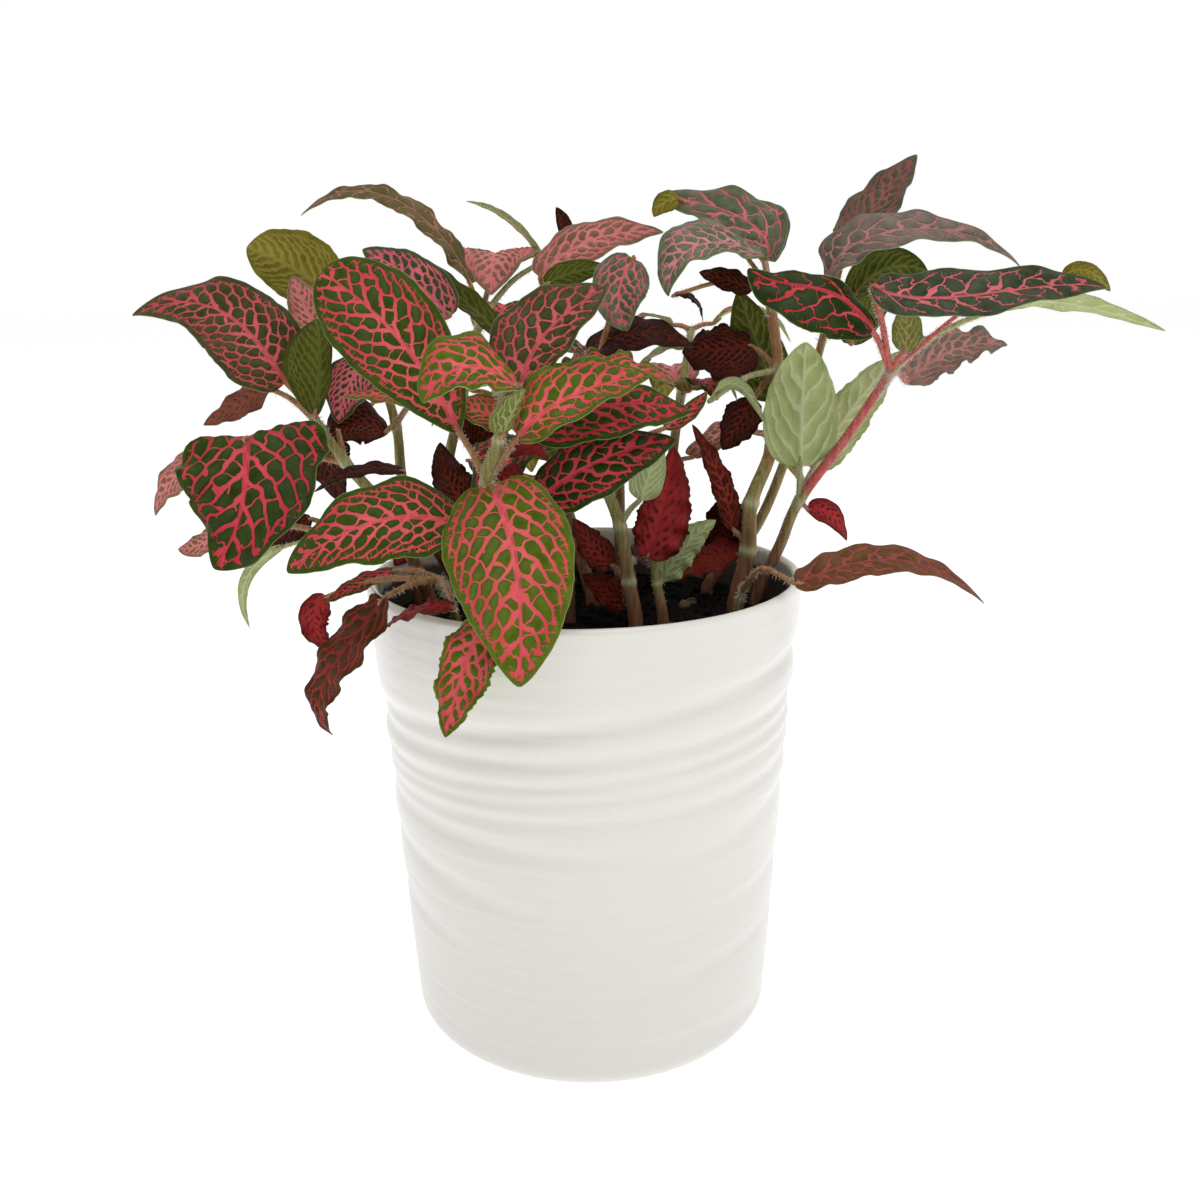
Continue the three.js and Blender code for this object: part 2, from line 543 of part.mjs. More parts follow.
function stemHole({ root, thick }) {
  const length = STEM_DEPTH + 10;
  const geometry = new THREE.CylinderGeometry(thick / 2 + GAP + 0.1, thick / 2 + GAP + 0.1, length, 6);
  geometry.rotateX(Math.PI / 2);
  geometry.translate(root[0], root[1], SOIL_TOP - STEM_DEPTH - GAP + length / 2);
  return solidOf(geometry);
}

function soil(shoots) {
  return Object.values(shoots).reduce((body, shoot) => body.subtract(stemHole(shoot)), soilBody());
}

// ---------------------------------------------------------------- stems

function stemPoints({ root, stem }) {
  const [x, y] = root;
  const buried = new THREE.Vector3(x, y, SOIL_TOP - STEM_DEPTH);
  const risen = new THREE.Vector3(x, y, SOIL_TOP + STEM_RISE);
  return [buried, risen, ...stem.map(place)];
}

// The stem tapers upwards and ends a little above its last pair of leaves.
function stemSolid(shoot) {
  const points = stemPoints(shoot);
  const last = points.length - 1;
  const curve = new THREE.CatmullRomCurve3(points, false, "catmullrom", 0.5);
  const path = [points[0]];
  for (let t = 1; t <= last; t += 0.5) path.push(curve.getPoint(t / last));
  const end = path[path.length - 1].clone();
  path.push(end.add(end.clone().sub(path[path.length - 2]).setLength(STEM_END)));
  let across = new THREE.Vector3(1, 0, 0);
  const rings = path.map((point, k) => {
    const ahead = path[Math.min(k + 1, path.length - 1)].clone().sub(path[Math.max(k - 1, 0)]).normalize();
    across = across.clone().addScaledVector(ahead, -across.dot(ahead)).normalize();
    const along = across.clone().cross(ahead);
    const radius = (shoot.thick / 2) * (1 - (STEM_TAPER * Math.max(0, k - 1)) / (path.length - 2));
    return Array.from({ length: STEM_SIDES }, (_, j) => {
      const a = (2 * Math.PI * j) / STEM_SIDES;
      return point
        .clone()
        .addScaledVector(across, radius * Math.cos(a))
        .addScaledVector(along, radius * Math.sin(a));
    });
  });
  return loft(rings);
}

// ---------------------------------------------------------------- leaves

// Half the width of a blade at s, from 0 at its base to 0 at its tip, and 1 where it is widest.
function outline(s, blunt, point) {
  const widest = blunt / (blunt + point);
  return (s ** blunt * (1 - s) ** point) / (widest ** blunt * (1 - widest) ** point);
}

// The one smooth curve through evenly spread points, at s from 0 to 1.
function midribAt(points, s) {
  const n = points.length - 1;
  return points.reduce((sum, point, i) => {
    let weight = 1;
    for (let j = 0; j <= n; j++) if (j !== i) weight *= (s * n - j) / (i - j);
    return sum.addScaledVector(point, weight);
  }, new THREE.Vector3());
}

// A row of points across the blade at s: folded up along the midrib, cupped, and waved at the edges.
function bladeRow(leafShape, s, columns) {
  const { face, halves, blunt = BLUNT, point = POINT, wave = 0.05, waves = 3, phase = 0.7 } = leafShape;
  const points = leafShape.midrib.map(place);
  const chord = points[points.length - 1].clone().sub(points[0]);
  const middle = midribAt(points, s);
  const ahead = midribAt(points, s + 1e-3).sub(midribAt(points, s - 1e-3)).normalize();
  const side = chord.cross(new THREE.Vector3(...face)).normalize();
  side.addScaledVector(ahead, -side.dot(ahead)).normalize();
  const up = side.clone().cross(ahead);
  return Array.from({ length: columns + 1 }, (_, k) => {
    const u = (2 * k) / columns - 1;
    const half = halves[u < 0 ? 0 : 1] * outline(s, blunt, point);
    const ripple = Math.sin(2 * Math.PI * waves * s + phase + (u > 0 ? 1.3 : 0)) * Math.min(1, 4 * (1 - s));
    const edge = (halves[0] + halves[1]) * wave * u * u * ripple;
    const lift = half * (Math.abs(u) * Math.sin(FOLD) - CUP * u * u) + edge;
    return middle.clone().addScaledVector(side, half * u * Math.cos(FOLD)).addScaledVector(up, lift);
  });
}

// Two faces of a row, each half the blade's thickness from it, as one ring.
function ringOf(row, normals, thickness) {
  const upper = row.map((p, j) => p.clone().addScaledVector(normals[j], thickness / 2));
  const lower = row.map((p, j) => p.clone().addScaledVector(normals[j], -thickness / 2));
  return [...upper, ...lower.reverse()];
}

// The slope of a grid of points at one place along one of its ways.
function slope(rows, i, j, di, dj) {
  const at = (a, b) =>
    rows[THREE.MathUtils.clamp(a, 0, rows.length - 1)][THREE.MathUtils.clamp(b, 0, rows[0].length - 1)];
  return at(i + di, j + dj).clone().sub(at(i - di, j - dj));
}

// The stalk's rings from the stem to the blade: as many points as the blade's, drawn in to a slim bar.
function stalkRings(leafShape, start, rows, normals) {
  const half = leafShape.stalk ?? STALK;
  const columns = rows[0].length - 1;
  const base = rows[0][columns / 2];
  const middle = start.clone().add(base).multiplyScalar(0.5);
  middle.z += STALK_ARCH * start.distanceTo(base);
  const bend = leafShape.via ? place(leafShape.via) : middle;
  start.addScaledVector(bend.clone().sub(start).normalize(), 0.5);
  const up = normals[0][columns / 2];
  let side = rows[0][columns].clone().sub(rows[0][0]).normalize();
  const rings = [];
  for (const [from, to] of [[bend, base], [start, bend]]) {
    const ahead = to.clone().sub(from).normalize();
    const before = side;
    side = before.clone().addScaledVector(ahead, -before.dot(ahead));
    if (side.length() < 0.4) {
      side = ahead.clone().cross(up);
      if (side.dot(before) < 0) side.negate();
    }
    side.normalize();
    const lift = side.clone().cross(ahead);
    const row = rows[0].map((_, j) => from.clone().addScaledVector(side, half * ((2 * j) / columns - 1)));
    rings.unshift(ringOf(row, row.map(() => lift), 1.5 * half));
  }
  return rings;
}

const BASE_END = 0.04; // where on the midrib the blade's first row is, and its last
const TIP_END = 0.985;
const MANY_WAVES = 3; // an edge with more waves gets more rows
const WIDE_BLADE = 25.4; // a blade wider than this gets four columns
const SLIM_BLADE = 11; // a blade slimmer than this gets fewer rows, as a plain one does
const TINY_BLADE = 7; // and one slimmer than this gets the fewest

function leafSolid(shoot, leafShape) {
  const width = leafShape.halves[0] + leafShape.halves[1];
  const columns = width >= WIDE_BLADE && !leafShape.plain ? 4 : 2;
  const plain = leafShape.plain || width < SLIM_BLADE;
  const wavy = (leafShape.waves ?? 0) > MANY_WAVES;
  const count = width < TINY_BLADE ? 4 : plain ? 5 : wavy ? 7 : 6;
  const rows = Array.from({ length: count }, (_, i) =>
    bladeRow(leafShape, BASE_END + ((TIP_END - BASE_END) * i) / (count - 1), columns),
  );
  const normals = rows.map((row, i) =>
    row.map((_, j) => slope(rows, i, j, 0, 1).cross(slope(rows, i, j, 1, 0)).normalize()),
  );
  const blade = rows.map((row, i) => ringOf(row, normals[i], BLADE));
  const start = stemPoints(shoot)[leafShape.growsFrom + 1].clone();
  const lower = (a) => a > columns && a < 2 * columns + 1;
  return loft([...stalkRings(leafShape, start, rows, normals), ...blade], lower);
}

// A stem with its leaves fused to it. Where a blade touches another it may close off a hollow, and that is
// filled, by leaving out the skins that face inwards.
function shootSolid(shoot) {
  const fused = shoot.leaves.reduce((body, each) => body.add(leafSolid(shoot, each)), stemSolid(shoot));
  const skins = fused.decompose().filter((skin) => skin.volume() > 0);
  return skins.reduce((body, skin) => body.add(skin));
}

// ---------------------------------------------------------------- the plant

const shoots = { ...SHOOTS };
for (const [name, sizes] of Object.entries(SPRIGS)) shoots[name] = sprig(sizes);

const group = new THREE.Group();
group.add(meshOf(pot(), "pot", 0xe6e3da, 0.35));
group.add(meshOf(soil(shoots), "soil", 0x17120f, 0.95));
for (const [name, shoot] of Object.entries(shoots)) {
  group.add(meshOf(shootSolid(shoot), "shoot_" + name, TONES[shoot.leaves[0].tone], 0.55));
}

export default group;
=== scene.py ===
"""A potted nerve plant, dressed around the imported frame: pot, loose peat, stems, veined leaves and hairs.

The plant is laid out in millimetres, +Z up, with the viewer's side at -Y and the origin at the pot's base.
Meshes are made in metres.
"""
import math

import bpy
import numpy as np
from mathutils import Matrix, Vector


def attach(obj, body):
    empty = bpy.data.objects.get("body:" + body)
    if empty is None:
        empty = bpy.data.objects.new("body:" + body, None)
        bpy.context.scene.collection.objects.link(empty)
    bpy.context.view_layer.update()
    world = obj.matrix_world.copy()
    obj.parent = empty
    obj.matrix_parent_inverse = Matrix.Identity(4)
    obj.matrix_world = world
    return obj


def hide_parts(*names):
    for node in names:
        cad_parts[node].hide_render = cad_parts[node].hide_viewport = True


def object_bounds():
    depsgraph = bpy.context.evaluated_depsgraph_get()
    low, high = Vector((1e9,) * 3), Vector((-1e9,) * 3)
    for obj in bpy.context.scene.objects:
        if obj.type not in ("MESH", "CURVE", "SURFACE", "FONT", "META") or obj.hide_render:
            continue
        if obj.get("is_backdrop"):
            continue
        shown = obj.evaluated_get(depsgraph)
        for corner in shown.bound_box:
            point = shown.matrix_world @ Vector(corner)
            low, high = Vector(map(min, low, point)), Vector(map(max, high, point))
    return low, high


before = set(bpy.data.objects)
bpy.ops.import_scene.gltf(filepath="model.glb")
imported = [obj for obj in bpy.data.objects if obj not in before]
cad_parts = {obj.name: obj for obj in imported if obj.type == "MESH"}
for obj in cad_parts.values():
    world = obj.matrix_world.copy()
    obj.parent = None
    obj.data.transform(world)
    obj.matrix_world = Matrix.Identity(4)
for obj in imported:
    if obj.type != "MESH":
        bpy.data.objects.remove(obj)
cad_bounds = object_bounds()

MM = 0.001
TURN = 2 * math.pi

# ---------------------------------------------------------------- the reference view
# A place on the plant is given as it is seen from one viewpoint: across and down that view, in pixels of
# a square 1200 wide, and how far it stands forward of the pot's axis, in mm.

EYE = np.array([7.5, -356.0, 227.3])
FOCAL = 1212.0
CENTRE = 600.0
PITCH, YAW, ROLL = (math.radians(a) for a in (15.06, -0.49, -0.82))

AHEAD = np.array([math.sin(YAW) * math.cos(PITCH), math.cos(YAW) * math.cos(PITCH), -math.sin(PITCH)])
LEVEL = np.array([math.cos(YAW), -math.sin(YAW), 0.0])
OVER = np.cross(LEVEL, AHEAD)
RIGHT = math.cos(ROLL) * LEVEL + math.sin(ROLL) * OVER
UP = math.cos(ROLL) * OVER - math.sin(ROLL) * LEVEL


def seen(across, down, forward):
    ray = AHEAD + RIGHT * (across - CENTRE) / FOCAL + UP * (CENTRE - down) / FOCAL
    return EYE + ray * (-forward - EYE[1]) / ray[1]


def place(spot):
    """A point of the view, as a tuple, or a point in space, as an array."""
    return seen(*spot) if isinstance(spot, tuple) else spot


# ---------------------------------------------------------------- dimensions, in mm

RIM_RADIUS = 65.0
BASE_RADIUS = 55.7
POT_HEIGHT = 141.0
WALL = 3.0
FLOOR = 5.0
FOOT_ROUND = 6.0
HEEL = 8.0  # height over which the inside turns into the floor
HEEL_IN = 6.0  # and how far in it goes
LIP_ROUND = 1.4
SOIL_TOP = 126.0
SOIL_LUMP = 1.2
SEAT = SOIL_TOP - 14.0  # up to here the peat is plain, under its uneven top
SEAT_IN = 0.6  # how much narrower the pot's inside is there than at the lip
GAP = 0.3
STEM_DEPTH = 13.0
STEM_RISE = 2.5
BLADE = 0.45  # thickness of a leaf
EDGE = 0.16  # thickness of its margin
BLUNT = 0.42  # a leaf's outline, at its stalk
POINT = 0.8  # and at its tip

FRONT = (0, -0.8, 0.6)
HIGH = (0, -0.45, 0.9)
LOW = (0, -1, 0.1)
AWAY = (0, 1, 0.15)


# ---------------------------------------------------------------- leaves and stems, one by one

def leaf(grows_from, tone, face, midrib, halves, **more):
    """grows_from: the stem point that it grows from, counted from 1. face: the way its upper side looks.
    midrib: points along it. halves: its half widths left and right. more may give blunt and point for its
    outline, wave, waves and phase for its ruffle, stalk for its stalk's half thickness and via for a point
    that the stalk passes, and as net the mm between side veins and between cross veins, how bold and how
    zigzag they are, and how far they curl ahead."""
    return dict(grows_from=grows_from, tone=tone, face=face, midrib=midrib, halves=halves, **more)


def leafy_stem(root, thick, stem, *leaves):
    """root: where it leaves the soil, x and y. stem: points along it, above that."""
    return dict(root=root, thick=thick, stem=stem, leaves=leaves)


SHOOTS = {
    "front": leafy_stem(
        (-19, -17), 4.4, [(507, 560, 34), (487, 484, 50), (499, 440, 52), (506, 396, 52)],
        leaf(2, "bright", (0, -0.9, 0.45), [(492, 485, 54), (517, 575, 76), (519, 688, 84)], (15, 17),
             point=0.78, net=(6.6, 5.4, 1.05, 0.45, 0.7)),
        leaf(2, "lush", (0, -0.75, 0.65), [(460, 526, 57), (375, 522, 62), (286, 572, 62)], (12.5, 11.5),
             point=0.7, net=(5.4, 4.8, 0.9, 0.7, 0.8)),
        leaf(2, "lush", (-0.2, -0.85, 0.45), [(459, 434, 46), (400, 340, 44), (321, 272, 32)], (14, 13),
             point=0.52, blunt=0.78, net=(5.8, 5, 0.92, 0.7, 0.7)),
        leaf(2, "night", (0.1, -0.8, 0.6), [(540, 500, 46), (600, 461, 46), (676, 439, 38)], (8.5, 10),
             point=0.75, net=(5.4, 5, 0.95, 1, 0.8)),
        leaf(2, "bright", (0, -0.75, 0.65), [(517, 438, 53), (574, 395, 54), (650, 376, 46)], (11, 7),
             point=0.7, net=(5.2, 4.6, 0.95, 1, 0.8)),
        leaf(2, "deep", FRONT, [(530, 430, 42), (615, 405, 44), (692, 412, 36)], (7, 10), point=0.8,
             net=(5, 4.8, 0.95, 1, 0.8)),
        leaf(4, "bright", (-0.1, -0.75, 0.65),
             [(517, 389, 55), (482, 368, 60), (449, 373, 64), (422, 403, 66)], (7.5, 11.5), point=0.7,
             net=(5, 4.6, 0.95, 1, 0.8)),
        leaf(4, "dusky", (-0.2, -0.85, 0.4), [(521, 388, 48), (547, 332, 42), (606, 288, 30)], (13, 7.9),
             point=0.6, net=(5.6, 5, 0.85, 1, 0.8)),
        leaf(3, "sprout", (-0.7, 1, 0), [(502, 436, 54), (512, 412, 56), (525, 389, 56)], (2, 5)),
        leaf(3, "crimson", FRONT, [(508, 455, 46), (530, 446, 47), (548, 462, 44)], (3, 3)),
        leaf(2, "crimson", FRONT, [(499, 492, 46), (510, 478, 44), (515, 462, 40)], (5, 4)),
        leaf(3, "bright", FRONT, [(510, 425, 44), (480, 412, 44), (452, 400, 38)], (4, 6)),
    ),
    "left": leafy_stem(
        (-47, 4), 4.2, [(392, 520, 8), (345, 462, 14), (318, 424, 14)],
        leaf(3, "dusky", (-0.1, -0.8, 0.6), [(287, 384, 14), (256, 341, 12), (208, 306, 4), (131, 315, -6)],
             (13, 12.5), net=(5.8, 5, 0.9, 0.9, 0.7)),
        leaf(2, "maroon", FRONT, [(338, 430, 10), (330, 462, 8), (345, 505, 4)], (6, 7), wave=0.07, waves=3),
        leaf(3, "fern", (0.1, 1, 0), [(315, 418, 22), (320, 368, 22), (317, 319, 16)], (3.5, 11), point=0.6,
             blunt=0.75),
        leaf(3, "deep", (-0.1, -0.8, 0.55), [(247, 435, 37), (246, 474, 47), (238, 522, 54), (213, 569, 56)],
             (22, 18.5), point=0.8, blunt=0.22, via=(292, 446, 16), net=(7.2, 6.6, 1.05, 0.4, 0.3)),
        leaf(3, "russet", FRONT, [(270, 388, 4), (240, 405, 0), (203, 425, -4)], (5, 5.8)),
        leaf(2, "washed", FRONT, [(215, 466, 6), (175, 478, 2), (155, 516, 0)], (6, 6)),
        leaf(1, "maroon", HIGH, [(406, 472, 20), (360, 470, 24), (314, 492, 26)], (3.5, 3)),
    ),
    "left_back": leafy_stem(
        (-40, 22), 4, [(408, 500, -18), (396, 425, -16), (372, 350, -16)],
        leaf(3, "olive", (0.2, 0.9, -0.3), [(335, 300, -14), (292, 268, -18), (247, 248, -24)], (12, 9),
             point=0.55),
        leaf(3, "washed", FRONT, [(330, 345, -6), (308, 312, -8), (292, 275, -10)], (6, 7)),
        leaf(2, "maroon", (0, -0.7, 0.7), [(386, 434, -12), (352, 424, -9), (326, 452, -6)], (9, 9),
             wave=0.05),
        leaf(3, "dark", (-0.2, -0.9, 0.4), [(366, 360, -12), (348, 388, -9), (338, 424, -6)], (8, 8)),
        leaf(1, "maroon", FRONT, [(398, 508, -13), (372, 528, -9), (352, 560, -6)], (7, 7), wave=0.07),
        leaf(2, "bright", HIGH, [(425, 404, 12), (385, 396, 10), (342, 397, 6)], (4, 5)),
        leaf(3, "dark", (-0.3, -0.8, 0.6), [(450, 318, 0), (410, 278, -2), (362, 249, -8)], (8, 8)),
    ),
    "top_left": leafy_stem(
        (-28, 18), 4.2, [(448, 500, -20), (462, 400, -22), (480, 320, -24)],
        leaf(3, "tawny", (-0.1, -0.75, 0.6),
             [(472, 286, -26), (432, 226, -24), (370, 192, -22), (300, 216, -20)], (3.9, 3.6), wave=0.11,
             waves=5),
        leaf(3, "moss", (0.5, 0.9, 0.5), [(503, 336, -8), (460, 296, -8), (405, 252, -10)], (5, 4)),
        leaf(3, "washed", (0, -0.5, 0.85), [(500, 268, -52), (494, 254, -38), (491, 295, -24)], (14, 14),
             wave=0.03),
        leaf(3, "sage", (0.3, 0.5, 0.8), [(545, 262, -40), (510, 220, -42), (466, 201, -44)], (2.4, 2.4),
             wave=0.01),
        leaf(2, "maroon", FRONT, [(470, 408, -22), (488, 432, -19), (496, 472, -17)], (7, 8), wave=0.06),
        leaf(1, "crimson", FRONT, [(438, 508, -16), (416, 536, -13), (394, 566, -11)], (7, 7), wave=0.07),
        leaf(1, "maroon", FRONT, [(470, 505, 4), (448, 480, 2), (440, 442, 0)], (5, 7), wave=0.1, waves=3),
    ),
    "mid": leafy_stem(
        (15, -16), 4.4, [(629, 582, 15), (620, 526, 13), (600, 470, 10), (588, 400, 6)],
        leaf(4, "bright", HIGH, [(560, 372, 30), (620, 366, 30), (676, 385, 28)], (6, 4), wave=0.1, waves=4),
        leaf(4, "maroon", (0, -0.7, 0.7), [(586, 352, 4), (640, 332, 10), (694, 347, 8)], (6, 7)),
        leaf(3, "olive", FRONT, [(664, 428, 22), (690, 410, 20), (707, 391, 18)], (2.5, 3), stalk=0.9),
        leaf(4, "ashen", FRONT, [(634, 258, 12), (619, 294, 16), (628, 331, 18)], (8, 8),
             net=(3.8, 3.4, 0.8, 1, 0.8)),
        leaf(2, "sage", AWAY, [(640, 500, 18), (650, 470, 18), (660, 430, 14)], (5, 5)),
        leaf(1, "wine", FRONT, [(612, 566, 10), (592, 546, 10), (573, 518, 10)], (5, 5), wave=0.08, waves=3),
        leaf(1, "wine", FRONT, [(625, 604, 6), (606, 590, 8), (582, 574, 8)], (5, 5), wave=0.08, waves=3),
        leaf(1, "maroon", (0, -0.7, 0.7), [(634, 560, -22), (657, 556, -32), (684, 566, -38)], (6, 6.5),
             wave=0.08),
    ),
    "mid_right": leafy_stem(
        (23, -13), 3.4, [(657, 584, 11), (652, 557, 10)],
        leaf(2, "crimson", FRONT, [(647, 558, 12), (663, 508, 11), (674, 446, 8)], (7, 9), wave=0.1, waves=5),
        leaf(1, "sage", AWAY, [(662, 582, 6), (684, 548, 5), (716, 520, 4)], (5, 6), wave=0.1, waves=4),
    ),
    "right": leafy_stem(
        (46, 4), 5.2, [(748, 550, -3), (751, 503, -3), (772, 446, -8), (778, 370, -14), (768, 285, -12)],
        leaf(5, "frosted", (-0.1, -0.7, 0.7), [(766, 260, 0), (722, 243, 8), (684, 254, 14), (668, 297, 16)],
             (6, 11), wave=0.05, net=(4.8, 4.6, 0.8, 1, 0.7)),
        leaf(5, "ashen", (0.25, -0.75, 0.65),
             [(766, 262, -12), (758, 230, -12), (716, 207, -16), (657, 195, -24)], (13, 12),
             net=(9, 7.6, 0.8, 0.6, 0.5)),
        leaf(5, "olive", (0.1, 0.9, -0.2), [(680, 200, -18), (664, 203, -17), (654, 217, -18)], (3.4, 3.2),
             point=0.7, stalk=0.7, via=(718, 222, -16)),
        leaf(5, "maroon", FRONT, [(752, 288, -8), (725, 280, -6), (699, 272, -6)], (4, 4.5)),
        leaf(4, "maroon", (-0.1, -0.8, 0.5), [(752, 345, -16), (715, 350, -12), (682, 352, -10)], (12, 8),
             wave=0.08),
        leaf(4, "maroon", FRONT, [(752, 400, -14), (738, 425, -12), (722, 450, -12)], (6, 6), wave=0.1,
             waves=3),
        leaf(3, "moss", AWAY, [(776, 400, -22), (757, 345, -22), (738, 290, -20)], (8, 9)),
        leaf(5, "maroon", HIGH, [(674, 294, -4), (695, 300, -6), (703, 322, -6)], (1.6, 2), stalk=0.8),
        leaf(4, "sage", (0, 0.7, 0.7), [(708, 402, 0), (736, 384, 0), (765, 424, -2)], (2.6, 2.8), wave=0.02),
        leaf(1, "wine", (0, -0.6, 0.8), [(738, 556, -8), (706, 560, -13), (672, 582, -17)], (7, 8),
             wave=0.08),
        leaf(2, "maroon", FRONT, [(742, 506, -9), (722, 532, -15), (716, 566, -18)], (7, 7), wave=0.08),
        leaf(1, "wine", FRONT, [(733, 530, -6), (720, 480, -6), (692, 424, -8)], (3.6, 3.8), wave=0.14,
             waves=4),
    ),
    "right_long": leafy_stem(
        (53, 11), 4, [(780, 545, -10), (799, 501, -6), (848, 435, 0), (890, 372, 4)],
        leaf(2, "crimson", (-0.2, -0.8, 0.5), [(808, 511, -4), (830, 514, -4), (847, 541, -6)], (3.8, 3.8),
             wave=0.05, waves=2, stalk=0.8),
        leaf(2, "sage", (0.1, 1, 0.1), [(800, 468, -3), (802, 405, -2), (806, 342, -5)], (11, 11.5),
             point=0.7, net=(7.5, 9, 1, 0.25, 0.8)),
        leaf(2, "sage", (-0.1, 1, -0.1), [(812, 470, -14), (852, 408, -16), (904, 350, -18)], (8, 7),
             wave=0.08, waves=4),
        leaf(4, "misty", FRONT, [(906, 384, -6), (955, 350, -10), (1008, 345, -14)], (8.5, 6), wave=0.12,
             waves=4),
        leaf(4, "young", LOW, [(905, 352, 8), (907, 328, 8), (905, 308, 6)], (4.5, 4.5), point=0.6),
        leaf(4, "dark", (0, -0.7, 0.75), [(870, 284, 20), (940, 298, 22), (1030, 288, 18), (1108, 288, 8)],
             (10, 8), net=(8.5, 7.4, 0.8, 0.6, 0.5)),
        leaf(4, "sage", (0, 0.6, 0.8), [(985, 312, 4), (1060, 302, -2), (1166, 331, -6)], (4, 5)),
        leaf(4, "olive", (0.3, 0.8, 0.2), [(1062, 277, 6), (1086, 270, 8), (1110, 291, 2)], (2.5, 2.3),
             point=0.6, stalk=0.7, via=(980, 300, 6)),
        leaf(4, "night", (0, -0.85, 0.5), [(874, 331, 12), (830, 293, 16), (788, 284, 18), (748, 268, 18)],
             (13.5, 4.5), point=0.7, net=(9.5, 9, 0.75, 0.35, 0.8)),
    ),
    "right_top": leafy_stem(
        (39, 25), 4, [(760, 520, -34), (802, 410, -34), (832, 305, -28)],
        leaf(3, "misty", (-0.1, -0.65, 0.7),
             [(836, 292, -20), (852, 246, -16), (935, 229, -20), (1022, 268, -26)], (9, 7), wave=0.06,
             waves=5, net=(8, 7, 0.85, 0.7, 0.6)),
        leaf(3, "murky", (-0.6, -0.7, 0.3), [(846, 245, -34), (880, 200, -40), (917, 154, -44)], (9.5, 8.5)),
        leaf(3, "moss", AWAY, [(850, 300, -26), (886, 268, -28), (928, 272, -30)], (6, 7)),
        leaf(3, "moss", AWAY, [(850, 345, -20), (868, 312, -20), (902, 290, -20)], (6, 6)),
    ),
    "low_right": leafy_stem(
        (44, -15), 2.6, [(743, 589, 17)],
        leaf(1, "russet", (0, -0.6, 0.8), [(794, 584, 40), (845, 566, 40), (912, 562, 36), (985, 604, 30)],
             (6, 5.5), wave=0.06, waves=5, via=(762, 569, 26)),
    ),
    "low_left": leafy_stem(
        (-34, -30), 3, [(440, 580, 35)],
        leaf(1, "brown", (-0.5, -0.8, 0.2), [(384, 596, 48), (352, 640, 52), (322, 690, 54), (333, 736, 54)],
             (6.5, 6.5), wave=0.08, waves=4),
        leaf(1, "crimson", FRONT, [(327, 596, 32), (314, 624, 34), (334, 650, 36)], (4.2, 4.4), wave=0.12,
             waves=3),
        leaf(1, "crimson", HIGH, [(456, 607, 60), (415, 611, 58), (375, 634, 46)], (3, 3), wave=0.08,
             waves=3),
        leaf(1, "olive", HIGH, [(395, 570, 24), (358, 586, 34), (326, 602, 38)], (3, 4)),
    ),
    "left_low": leafy_stem(
        (-52, 8), 2.8, [(405, 545, -6), (348, 540, 8)],
        leaf(2, "sage", AWAY, [(284, 546, 8), (246, 580, 6), (250, 628, 6)], (2, 1.8), stalk=0.8),
        leaf(2, "maroon", FRONT, [(312, 518, 6), (286, 535, 6), (262, 546, 6)], (4, 4)),
        leaf(2, "washed", FRONT, [(228, 528, 12), (200, 545, 10), (178, 549, 8)], (4, 4)),
    ),
    "front_low": leafy_stem(
        (-30, -24), 3, [(480, 606, 54)],
        leaf(1, "bright", (-0.2, -1, 0.2), [(484, 622, 64), (462, 675, 70), (445, 738, 74)], (8, 7), wave=0.1,
             waves=3, net=(4.4, 4.2, 1.2, 0.7, 0.8)),
    ),
    "mid_back": leafy_stem(
        (2, 12), 4.2, [(560, 480, -26), (548, 380, -30), (545, 300, -32)],
        leaf(3, "washed", (0, -0.75, 0.65), [(538, 278, -28), (592, 240, -30), (664, 232, -32)], (8, 8)),
        leaf(3, "maroon", FRONT, [(566, 238, -42), (562, 222, -42), (556, 207, -42)], (2, 3)),
        leaf(1, "crimson", FRONT, [(558, 520, -32), (580, 548, -30), (606, 560, -30)], (7, 7), wave=0.08),
        leaf(3, "moss", AWAY, [(545, 285, -20), (575, 272, -20), (610, 268, -20)], (4, 4)),
    ),
}

# ---------------------------------------------------------------- leafy stems by rule
# The far side of the plant and its middle: pairs of leaves that cross each other up the stem.

SPRIGS = {
    "back_left": dict(root=(-32, 28), lean=89, tilt=36, height=82, turn=89, seed=47),
    "back": dict(root=(-9, 39), lean=88, tilt=34, height=66, turn=55, seed=20),
    "back_mid": dict(root=(11, 30), lean=90, tilt=12, height=70, turn=75, seed=5, pairs=2),
    "back_right": dict(root=(25, 45), lean=69, tilt=22, height=82, turn=6, seed=37),
    "middle": dict(root=(-5, -4), lean=86, tilt=12, height=62, turn=77, seed=48, pairs=2),
}
NODE_HEIGHTS = (0.46, 0.74, 1.0)
SPRIG_THICK = 4.0
SPRIG_TONES = ("dark", "deep", "bright", "dark", "washed")
LEAF_LENGTH = 44.0
LENGTH_STEP = 5.0
INWARD = 0.62  # length of a leaf that points into the plant, beside the others
STALK_LENGTH = 7.0
STALK_RISE = 2.0
RISE = np.array([0.0, 0.0, 1.0])


def chance(seed, k):
    """A fixed scatter between 0 and 1."""
    v = math.sin(seed * 12.9898 + k * 78.233) * 43758.5453
    return v - math.floor(v)


def heading(degrees):
    a = math.radians(degrees)
    return np.array([math.cos(a), math.sin(a), 0.0])


